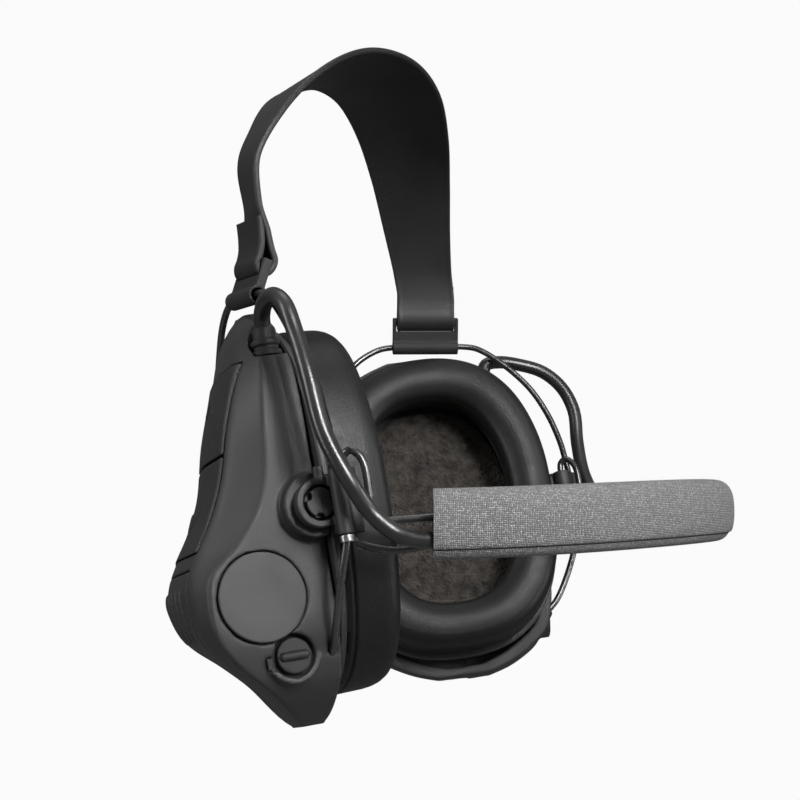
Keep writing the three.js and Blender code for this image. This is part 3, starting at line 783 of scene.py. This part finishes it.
def make_housing():
    boss = rod(POST["boss"], -38.5, -30, "y", (POST["x"], 0, POST["z"]))
    cut(boss, box((RIM, -FAR, -40), (40, 0, 40)))
    lug = rod(2.6, 30, 36, "y", (FRONT_ANCHOR[0], 0, FRONT_ANCHOR[1]))
    port_at = (PORT["x"], 0, PORT["z"])
    socket = rod(PORT["radius"] + 2.6, PORT["y"], PORT["y"] + 8, "y", port_at)
    shell = fuse(housing_form(0, RIM), boss, lug, socket)
    cut(shell, housing_form(-WALL, 5))
    for name in KEY_ROWS:
        floor = housing_form(-(KEY["thickness"] - KEY["proud"] + KEY_ROOM), 5)
        cut(shell, cut(key_zone(name, GAP), floor))
    cut(shell, door_zone(GAP))
    disc_at = (DISC["x"], 0, DISC["z"])
    cut(shell, rod(DISC["radius"] + GAP, DISC["y"] - 3, DISC["y"] + 2, "y", disc_at, 96))
    cut(shell, rod(PORT["radius"] + 1, PORT["y"] - 5, PORT["y"] + 1.6, "y", port_at))
    cut(shell, rod(PORT["bore"] + GAP, PORT["y"] - 5, PORT["y"] + 9, "y", port_at))
    x, y, z = PORT["x"], PORT["y"], PORT["z"]
    cut(shell, box((x - 7.6, y - 5, z - 3), (x - 4, y + 1, z + 0.6)))
    gx, gy = GLAND["x"], GLAND["y"]
    cut(shell, rod(4.4, GLAND["bottom"], 70, "z", (gx, gy, 0)))
    cut(shell, box((gx - 4.4, -FAR, GLAND["bottom"]), (gx + 4.3, gy, 70)))
    cut(shell, hoop(WIRE_RADIUS + GAP))
    moulded(shell, 0.5, 3, 0.4)
    return set_in_cups(shell, "housing", SHELL)


def make_key(name, height, up):
    patch = common(housing_form(KEY["proud"], 0), key_zone(name))
    arrow = common(housing_form(KEY["proud"] + ARROW["proud"], 0), chevron(height, up))
    fuse(patch, arrow)
    cut(patch, housing_form(KEY["proud"] - KEY["thickness"], 5))
    moulded(patch, 0.34, 2, 0.5)
    set_in_cups(patch, f"{name}_key", KEY_RUBBER, name)


ARROW = {"middle": -3, "gap": 0.4, "reach": 5.2, "rise": 2.2, "fall": 1.6, "half_line": 0.75, "proud": 0.45}


def chevron(height, up):
    """A plain arrow mark, pointing up (1) or down (-1), to be raised out of a key."""
    middle, line = ARROW["middle"], ARROW["half_line"]
    tip, foot = height + up * ARROW["rise"], height - up * ARROW["fall"]
    arms = []
    for side in (-1, 1):
        near, far = middle + side * ARROW["gap"], middle + side * ARROW["reach"]
        ring = [(near, tip - line), (far, foot - line), (far, foot + line), (near, tip + line)]
        arms.append(skin([[(x, y, z) for y, z in ring] for x in (-FAR, 0)]))
    return fuse(*arms)


def make_battery_door():
    outer = common(housing_form(0, 0), door_zone())
    count, width = 7, 2
    pitch = (DOOR["front"] - DOOR["back"] - 8) / count
    for i in range(count):
        y = DOOR["back"] + 6 + i * pitch
        rib = box((-FAR, y, DOOR["bottom"] + 5), (0, y + width, DOOR["top"] - 4))
        fuse(outer, common(housing_form(0.5, 0), rib))
    cut(outer, housing_form(-DOOR["skin"], 5))
    moulded(outer, 0.34, 2, 0.5)
    set_in_cups(outer, "battery_door", SHELL, "battery_lid")


def make_mic_cover():
    radius, y = DISC["radius"], DISC["y"]
    profile = [(0, y - 0.55), (radius * 0.6, y - 0.62), (radius, y - 0.5), (radius, y + 1.7), (0, y + 1.7)]
    cover = turned(rounded(profile, 0.5), "y", (DISC["x"], 0, DISC["z"]), 96)
    set_in_cups(smooth(cover, 50), "mic_port_cover", DISC_FINISH)


def make_port_plug():
    x, y, z = PORT["x"], PORT["y"], PORT["z"]
    profile = [(0, y - 0.6), (4.5, y - 0.6), (4.5, y + 1.3), (3.7, y + 1.3), (3.7, y + 7), (0, y + 7)]
    plug = turned(rounded(profile, 0.35), "y", (x, 0, z), 64)
    ridge = turned([(0.05, -4.1), (1.05, -3.3), (1.15, 0), (1.05, 3.3), (0.05, 4.1)], "x", (x, y - 0.7, z))
    fuse(plug, ridge)
    moulded(plug, 0.2, 2)
    set_in_cups(plug, "port_plug", RUBBER, "plug")
    tab = box((x - 7.2, y - 0.5, z - 2.6), (x - 5.9, y + 0.7, z + 0.2))
    moulded(tab, 0.12, 2)
    set_in_cups(tab, "port_tab", RUBBER)


def make_pivot_post():
    """A round cap with three slots in its edge."""
    x, z = POST["x"], POST["z"]
    profile = [(0, -42.6), (POST["radius"], -42.6), (POST["radius"], -38.8), (0, -38.8)]
    post = turned(rounded(profile, 0.4), "y", (x, 0, z))
    for turn in (150, 10, 260):
        angle = math.radians(turn)
        at = (x + POST["radius"] * math.cos(angle), 0, z + POST["radius"] * math.sin(angle))
        cut(post, rod(1.2, -50, -40.2, "y", at, 24))
    moulded(post, 0.16, 2)
    set_in_cups(post, "pivot_post", POST_RUBBER)


def make_hinge_block():
    """An eye round the pivot post, a barrel on the neckband wire and a tube for the hoop wire."""
    back, front, bottom, top = -42.4, -39, -10, 6.5
    hoop_x, hoop_y = -1.2, -46.2
    sx, sy, _ = SWIVEL_IN_CUP
    x, z = POST["x"], POST["z"]
    block = rod(POST["eye"], back, front, "y", (x, 0, z))
    fuse(
        block,
        box((x, back, bottom + 3), (sx, front, top - 1)),
        rod(2.9, bottom, top, "z", (sx, sy, 0)),
        rod(2.1, bottom, top, "z", (hoop_x, hoop_y, 0)),
        box((-2.6, -46, bottom + 0.6), (sx - 0.6, -41, top - 0.6)),
        rod(1.3, top - 3, top + 1.6, "z", (-4.2, -41, 0)),
    )
    cut(block, rod(POST["hole"], back - 0.5, -30, "y", (x, 0, z)))
    cut(block, rod(WIRE_RADIUS + GAP, -30, 30, "z", (sx, sy, 0), 24))
    cut(block, hoop(WIRE_RADIUS + GAP))
    moulded(block, 0.22, 3)
    set_in_cups(block, "hinge_block", SHELL)


def make_ferrule():
    ring = rod(1.9, -12, -10.3, "z", (-1.25, -46.15, 0))
    cut(ring, hoop(WIRE_RADIUS + GAP))
    moulded(ring, 0.12, 2)
    set_in_cups(ring, "wire_ferrule", BRIGHT)


def make_hoop():
    set_in_cups(smooth(hoop(WIRE_RADIUS), 60), "hoop_wire", WIRE_STEEL)


def oval(width, height, x, count=120):
    """A ring between an ellipse and a rectangle, of these half sizes."""
    angles = np.arange(count) * 2 * math.pi / count
    c, s = np.cos(angles), np.sin(angles)
    y = width * np.sign(c) * np.abs(c) ** (2 / OVAL_POWER)
    z = height * np.sign(s) * np.abs(s) ** (2 / OVAL_POWER)
    return np.column_stack([np.full(count, x), y, z])


PLATE = {"back": -2.4, "front": -0.3, "width": 38.4, "height": 50.2}
CUSHION = {"width": 37.5, "height": 49, "hole_width": 25, "hole_height": 37, "foot": 1}
FOAM_PAD = {"width": 25.5, "height": 36, "back": -9.2, "front": -5.8, "dome": 0.8}


def make_seal_plate():
    width, height = PLATE["width"], PLATE["height"]
    inner_w, inner_h = CUSHION["hole_width"], CUSHION["hole_height"]
    back, front, edge = PLATE["back"], PLATE["front"], 0.5
    outline = [
        (inner_w, inner_h, back),
        (width - edge, height - edge, back),
        (width, height, back + edge),
        (width, height, front - edge),
        (width - edge, height - edge, front),
        (inner_w, inner_h, front),
    ]
    plate = skin([oval(w, h, x) for w, h, x in outline], closed=True)
    set_in_cups(smooth(plate, 40), "seal_plate", SHELL)


# The cushion's section from its outer foot, over the face and down into the opening, as
# (distance in from the outside, x), with the reach of the curve at each corner.
CUSHION_SECTION = [
    (0.9, 0.1, 0),
    (0, 1.9, 0.5),
    (0.75, 2.5, 0.4),
    (0, 3.1, 0.5),
    (0.4, 15.2, 4.5),
    (6, 16.9, 4),
    (10.5, 16.4, 3),
    (14.6, 13.6, 5),
    (13.6, 5, 4),
    (12.5, 0.1, 0),
]


def plump(obj, closeness, height):
    """Soft, shallow swells over a padded piece; closeness is in swells per millimetre."""
    mesh = obj.data
    moves = [v.normal * height * noise.noise(v.co * closeness) for v in mesh.vertices]
    for vertex, move in zip(mesh.vertices, moves):
        if vertex.co.x > CUSHION["foot"]:
            vertex.co += move


def make_cushion():
    corners = CUSHION_SECTION
    line = [corners[0][:2]]
    for before, (a, b, reach), after in zip(corners, corners[1:], corners[2:]):
        line += corner_curve(before[:2], (a, b), after[:2], reach, steps=5)
    line.append(corners[-1][:2])
    width, height = CUSHION["width"], CUSHION["height"]
    rings = [oval(width - inset, height - inset, x, 180) for inset, x in line]
    cushion = skin(rings, closed=True)
    plump(cushion, 0.055, 0.3)
    return set_in_cups(smooth(cushion, 60), "ear_cushion", LEATHER)


def make_foam():
    width, height = FOAM_PAD["width"], FOAM_PAD["height"]
    rings = []
    for share in (0.0, 0.25, 0.5, 0.72, 0.88, 0.97, 1.0):
        dome = FOAM_PAD["dome"] * math.cos(share * math.pi / 2)
        size = max(share, 0.01)
        rings.append(oval(width * size, height * size, FOAM_PAD["front"] + dome))
    rings.append(oval(width, height, FOAM_PAD["back"]))
    foam = skin(rings)
    return set_in_cups(smooth(foam, 60), "foam_liner", FOAM)


def make_gland():
    x, y, bottom, top = GLAND["x"], GLAND["y"], GLAND["bottom"], GLAND["top"]
    profile = [
        (0, bottom + GAP),
        (3.9, bottom + GAP),
        (3.9, bottom + 1.6),
        (3.2, bottom + 1.9),
        (3.2, bottom + 2.8),
        (3.8, bottom + 3.1),
        (3.8, bottom + 4.4),
        (3.0, bottom + 4.7),
        (3.0, bottom + 5.4),
        (2.7, top),
        (0, top),
    ]
    gland = turned(rounded(profile, 0.3, 3), "z", (x, y, 0), 48)
    set_in_cups(smooth(gland, 50), "cable_gland", RUBBER)


LOOP = {"at": (-4.25, -6.4, 59.23), "half": 11.2, "side": 1.2, "slot": 5.4, "bar": 2.2, "top": 10}
LOOP_RISE = 7.5


def loop_matrix(side):
    """A strap loop's own frame: y along its tube, which rises to the front, and z up the strap."""
    rise = Matrix.Rotation(math.radians(LOOP_RISE), 4, "X")
    lean = Matrix.Rotation(math.radians(LEAN[side]), 4, "Y")
    return CUP[side] @ Matrix.Translation(LOOP["at"]) @ rise @ lean


def make_strap_loop():
    half, top = LOOP["half"], LOOP["top"]
    loop = rod(2.5, -half, half, "y", (0, 0, 0))
    fuse(loop, box((-1.3, -half, 1), (1.3, half, top)))
    side, bar = LOOP["side"], LOOP["bar"]
    cut(loop, box((-5, side - half, LOOP["slot"]), (5, half - side, top - bar)))
    cut(loop, rod(WIRE_RADIUS + 0.8, -20, 20, "y", (0, 0, 0), 24))
    moulded(loop, 0.25, 3)
    for side in SIDES:
        mesh = loop.data.copy()
        mesh.transform(loop_matrix(side))
        if side == "right":
            mesh.flip_normals()
        piece = dress(mesh, f"{side}_strap_loop_piece", RUBBER)
        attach(piece, f"{side}_cup")
        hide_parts(f"{side}_strap_loop")
    discard(loop)


# ---- neckband ----
def band_point(angle, out, up):
    """A point beside the neckband's middle line, at an angle that runs from the left ear to the right."""
    a = math.radians(angle)
    middle = np.array([-BAND_HALF_WIDTH * math.cos(a), -BAND_DEPTH * math.sin(a)])
    normal = np.array([-BAND_DEPTH * math.cos(a), -BAND_HALF_WIDTH * math.sin(a)])
    middle = middle + out * normal / np.linalg.norm(normal)
    return (*middle, BAND_DROOP + BAND_RISE * math.sin(a) ** 2 + up)


SLEEVE = {"half_thickness": 6.2, "half_height": 9, "skin": 1.2, "power": 2.6}
SEAM_HEIGHT = -6.1
SEAM_STEP = 0.55  # how far the cloth below the seam is tucked in
SEAM_WIDTH = 0.12


def sleeve_section(shrink, count=72):
    points = []
    for i in range(count):
        a = 2 * math.pi * i / count
        bulge = [math.copysign(abs(v) ** (2 / SLEEVE["power"]), v) for v in (math.cos(a), math.sin(a))]
        up = (SLEEVE["half_height"] - shrink) * bulge[1]
        tuck = SEAM_STEP / (1 + math.exp((up - SEAM_HEIGHT) / SEAM_WIDTH))
        out = (SLEEVE["half_thickness"] - shrink - tuck) * bulge[0]
        points.append((out, up + tuck * 0.6))
    return points


def sleeve_rings(outer):
    """Rings of points along the outside of the sleeve, round its far lip and back along the inside."""
    start, end, steps = BAND_START, 180 - BAND_START, 220
    inner, middle = sleeve_section(SLEEVE["skin"]), sleeve_section(SLEEVE["skin"] / 2)
    lip = 0.35
    rings = [(start + lip, inner), (start + lip * 0.2, inner), (start, middle), (start + lip * 0.2, outer)]
    rings += [(start + (end - start) * i / steps, outer) for i in range(1, steps)]
    rings += [(end - lip * 0.2, outer), (end, middle), (end - lip * 0.2, inner), (end - lip, inner)]
    rings += [(start + (end - start) * (1 - i / 40), inner) for i in range(1, 40)]
    return [[band_point(angle, out, up) for out, up in section] for angle, section in rings]


def lengths_round(points):
    """The distance to each point of a closed line, and to its first point again."""
    points = np.array(points)
    steps = np.linalg.norm(np.roll(points, -1, axis=0) - points, axis=1)
    return np.concatenate([[0], steps.cumsum()])


def lay_out_cloth(mesh, along, around):
    """A UV map in metres: u along the sleeve and v round it."""
    layer = mesh.uv_layers.new(name="cloth")
    ring_count, count = len(along) - 1, len(around) - 1
    for polygon in mesh.polygons:
        ring_ids = [mesh.loops[i].vertex_index // count for i in polygon.loop_indices]
        side_ids = [mesh.loops[i].vertex_index % count for i in polygon.loop_indices]
        wraps_ring = max(ring_ids) - min(ring_ids) > 1
        wraps_side = max(side_ids) - min(side_ids) > 1
        for i, r, s in zip(polygon.loop_indices, ring_ids, side_ids):
            r = ring_count if wraps_ring and r == 0 else r
            s = count if wraps_side and s == 0 else s
            layer.data[i].uv = (along[r] * MM, around[s] * MM)


def make_sleeve():
    outer = sleeve_section(0)
    rings = sleeve_rings(outer)
    sleeve = skin(rings, closed=True)
    around = lengths_round(outer)
    lay_out_cloth(sleeve.data, lengths_round([ring[0] for ring in rings]), around)
    seam_distance = [abs(up - SEAM_HEIGHT) if out > 0 else FAR for out, up in outer]
    seam = around[int(np.argmin(seam_distance))] * MM
    piece = set_in_row(sleeve, "neckband_sleeve_piece", heather_cloth(seam), 70)
    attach(piece, "band")
    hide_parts("neckband_sleeve")


RUN = {"upper": 2.2, "lower": -4, "out": -1.4}  # heights of the wire's two runs, and their place inwards


def wire_end(side):
    """The wire's turn at a cup: up beside the swivel, over and down through the hinge block."""
    up = (CUP[side].to_3x3() @ Vector((0, 0, 1))).normalized()
    up = Vector((abs(up.x), up.y, up.z)) if side == "left" else Vector((-up.x, up.y, up.z))
    pivot = Vector((-SWIVEL[0], SWIVEL[1], SWIVEL[2]))
    beside = pivot + Vector((0.5, -5.7, 0))
    return [
        beside - up * 6,
        beside,
        beside + up * 7.4,
        pivot.lerp(beside, 0.82) + up * 10,
        pivot.lerp(beside, 0.45) + up * 11.2,
        pivot.lerp(beside, 0.12) + up * 9.8,
        pivot + up * 7,
        pivot.copy(),
        pivot - up * 8,
        pivot - up * 11.6,
    ]


def make_neckband_wire():
    def mirror(points):
        return [(-p[0], p[1], p[2]) for p in points]

    def run(up):
        return [band_point(angle, RUN["out"], up) for angle in (22, 30, 40, 52, 66, 78)]

    upper_turn = [band_point(14, RUN["out"], RUN["upper"] - 0.6)]
    lower_turn = [band_point(10, RUN["out"] + 1, RUN["lower"] - 2.2)]
    left = [tuple(p) for p in wire_end("left")]
    right = mirror([tuple(p) for p in wire_end("right")])
    upper, lower = run(RUN["upper"]), run(RUN["lower"])
    points = [
        band_point(89.7, RUN["out"], RUN["upper"]),
        *upper[::-1],
        *upper_turn,
        *left,
        *lower_turn,
        *lower,
        *mirror(lower)[::-1],
        *mirror(lower_turn),
        *right[::-1],
        *mirror(upper_turn),
        *mirror(upper),
        band_point(90.3, RUN["out"], RUN["upper"]),
    ]
    wire = tube(catmull_rom(points, 6), WIRE_RADIUS)
    piece = set_in_row(wire, "neckband_wire_piece", WIRE_STEEL)
    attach(piece, "band")
    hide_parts("neckband_wire")


# ---- strap over the head ----
# Points along the strap's middle, with its width there, the turn of its front edge in degrees, and how
# far that edge dips below the middle.
STRAP_ROUTE = [
    ((-65.9, 38.6, 84), 19.4, 54, 0),
    ((-65.8, 39.9, 96), 20, 50, 0),
    ((-56.8, 38.8, 108.5), 25, 44, 1),
    ((-40, 38.5, 120.5), 30, 32, 3),
    ((-15, 38.5, 130), 33, 20, 4.2),
    ((12, 38.8, 133.8), 36, 8, 2.2),
    ((35.5, 40.4, 130.5), 34, -3, 0.5),
    ((53.5, 43, 121.5), 30, -12, 0),
    ((68, 46, 109), 26, -20, 0),
    ((78.5, 48, 94), 22.5, -25, 0),
    ((85, 48.6, 81), 20, -27, 0),
]
STRAP_END_WIDTH = 19.4
STRAP_THICKNESS = 1.8

# The strap's end, in its loop's frame, as (x, z): from the tail on the outside, round under the loop's
# top bar and up the inside, where the strap lies on its own tail.
STRAP_FOLD = [
    (-0.95, 20.5),
    (-1.0, 16.5),
    (-1.45, 13.2),
    (-2.2, 10.6),
    (-2.25, 8.6),
    (-1.35, 6.8),
    (0, 6.35),
    (1.35, 6.8),
    (2.25, 8.6),
    (2.2, 10.6),
    (1.45, 13.2),
    (0.95, 17),
]
STRAP_SLANT = {"left": -0.46, "right": -0.08}  # how far the strap runs outwards for each unit up
SLANT_START = 11


def strap_end(side):
    to_row = Matrix.Scale(1 / MM, 4) @ loop_matrix(side)
    front = np.array((to_row.to_3x3() @ Vector((0, 1, 0))).normalized())
    end = []
    for x, z in STRAP_FOLD:
        across = x + STRAP_SLANT[side] * max(z - SLANT_START, 0)
        end.append((np.array(to_row @ Vector((across, 0, z))), STRAP_END_WIDTH, front))
    return end


def strap_stations():
    stations = strap_end("left")
    for at, width, turn, dip in STRAP_ROUTE:
        a = math.radians(turn)
        side = np.array([math.sin(a), math.cos(a), -2 * dip / width])
        stations.append((np.array(at, float), width, side))
    return stations + strap_end("right")[::-1]


def strap_outline(count=7):
    """The strap's section: flat faces, with round edges that stand a little proud of them."""
    points = []
    for side in (1, -1):
        for i in range(count):
            angle = math.pi * i / (count - 1) - math.pi / 2
            points.append((side * (0.955 + 0.045 * math.cos(angle)), -side * math.sin(angle)))
        for share in (0.9, 0.8, 0.4, 0.0, -0.4, -0.8, -0.9):
            points.append((side * share, -side * 0.86))
    return points


def make_strap():
    stations = strap_stations()
    path = catmull_rom([at for at, _, _ in stations], 12)
    across = catmull_rom([side * width / 2 for _, width, side in stations], 12)
    tangent = np.gradient(path, axis=0)
    normal = np.cross(tangent, across)
    normal *= (STRAP_THICKNESS / 2) / np.linalg.norm(normal, axis=1)[:, None]
    outline = strap_outline()
    rings = [[p + a * w + n * t for w, t in outline] for p, a, n in zip(path, across, normal)]
    crown = int(np.argmax(path[:, 2]))
    ends = len(STRAP_FOLD)
    halves = {"left": (rings[: crown + 1], stations[ends - 1]), "right": (rings[crown:], stations[-ends])}
    for side, (part, leaves_loop) in halves.items():
        name = f"{side}_overhead_strap_piece"
        piece = set_in_row(skin(part), name, STRAP_FINISH, 50)
        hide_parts("overhead_strap")
        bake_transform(piece)


def dress_cad_nodes():
    """The nodes that stay as they are get their finished materials."""
    finishes = {
        "speaker": coated_steel(),
        "circuit_board": circuit_green(),
        "battery": battery_jacket(),
        "neckband_crimp": BRIGHT,
        "neckband_spring": BRIGHT,
        "neckband_padding": FOAM,
        "middle_cable": JACKET,
    }
    for name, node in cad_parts.items():
        word = name.removeprefix("left_").removeprefix("right_")
        if word in finishes:
            node.data.materials.clear()
            node.data.materials.append(finishes[word])


# ---- surroundings ----
BACKDROP = (0.962, 0.962, 0.962, 1)  # what the camera sees behind the headphones


def apart_for_camera(tree, lighting, seen, target):
    """The camera sees one shader while the other lights the scene."""
    mixer = tree.nodes.new("ShaderNodeMixShader")
    path = tree.nodes.new("ShaderNodeLightPath")
    tree.links.new(path.outputs["Is Camera Ray"], mixer.inputs["Fac"])
    tree.links.new(lighting.outputs[0], mixer.inputs[1])
    tree.links.new(seen.outputs[0], mixer.inputs[2])
    tree.links.new(mixer.outputs[0], target)


def make_stage():
    """A plain pale floor under soft light, well below the headphones, which hang clear of it."""
    mesh = bpy.data.meshes.new("floor")
    size, height = 6.0, -0.4
    corners = [(-size, -size, height), (size, -size, height), (size, size, height), (-size, size, height)]
    mesh.from_pydata(corners, [], [(0, 1, 2, 3)])
    floor = bpy.data.objects.new("floor", mesh)
    bpy.context.scene.collection.objects.link(floor)
    material = bpy.data.materials.new("floor")
    material.use_nodes = True
    tree = material.node_tree
    shader = tree.nodes["Principled BSDF"]
    shader.inputs["Base Color"].default_value = (0.25, 0.25, 0.25, 1)
    shader.inputs["Roughness"].default_value = 0.9
    glow = tree.nodes.new("ShaderNodeEmission")
    glow.inputs["Color"].default_value = BACKDROP
    apart_for_camera(tree, shader, glow, tree.nodes["Material Output"].inputs["Surface"])
    mesh.materials.append(material)


# How the light from around grows from below the horizon to overhead.
WORLD_RAMP = {"From Min": -0.3, "From Max": 0.9, "To Min": 0.06, "To Max": 0.34}


def make_world():
    """Soft light: brighter overhead than below; the background itself shows nearly white."""
    bpy.context.scene.view_settings.view_transform = "Standard"
    world = bpy.data.worlds.new("studio")
    bpy.context.scene.world = world
    world.use_nodes = True
    tree = world.node_tree
    tree.nodes.clear()
    output = tree.nodes.new("ShaderNodeOutputWorld")
    seen = tree.nodes.new("ShaderNodeBackground")
    seen.inputs["Color"].default_value = BACKDROP
    light = tree.nodes.new("ShaderNodeBackground")
    coordinates = tree.nodes.new("ShaderNodeTexCoord")
    parts = tree.nodes.new("ShaderNodeSeparateXYZ")
    ramp = tree.nodes.new("ShaderNodeMapRange")
    for key, number in WORLD_RAMP.items():
        ramp.inputs[key].default_value = number
    tree.links.new(coordinates.outputs["Generated"], parts.inputs[0])
    tree.links.new(parts.outputs["Z"], ramp.inputs["Value"])
    tree.links.new(ramp.outputs[0], light.inputs["Strength"])
    apart_for_camera(tree, light, seen, output.inputs["Surface"])


def area_light(name, at, target, size, power, spread=180):
    data = bpy.data.lights.new(name, "AREA")
    data.shape = "RECTANGLE"
    data.size, data.size_y = size
    data.energy = power
    data.spread = math.radians(spread)
    lamp = bpy.data.objects.new(name, data)
    bpy.context.scene.collection.objects.link(lamp)
    lamp.location = at
    direction = Vector(target) - Vector(at)
    lamp.rotation_euler = direction.to_track_quat("-Z", "Y").to_euler()


def make_lights():
    area_light("key", (-0.5, -0.5, 0.42), (-0.1, 0.0, 0.1), (0.14, 0.4), 0.5, spread=50)
    area_light("fill", (-0.5, -0.7, 0.5), (0.0, 0.0, 0.05), (0.2, 0.5), 3.4)
    area_light("overhead", (0.1, 0.1, 0.95), (0, 0.02, 0.03), (0.5, 0.5), 1.4)
    area_light("left_strip", (-0.62, 0.62, 0.25), (-0.08, 0.02, 0.0), (0.12, 0.7), 3)
    area_light("right_strip", (0.1, -0.85, 0.1), (0, 0, 0), (0.08, 0.6), 3)


make_housing()
make_key("volume_up", 31, 1)
make_key("volume_down", 2, -1)
make_battery_door()
make_mic_cover()
make_port_plug()
make_pivot_post()
make_hinge_block()
make_ferrule()
make_hoop()
make_seal_plate()
for cushion in make_cushion().values():
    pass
for foam in make_foam().values():
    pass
make_gland()
make_strap_loop()
make_neckband_wire()
make_sleeve()
make_strap()
dress_cad_nodes()
make_stage()
make_world()
make_lights()
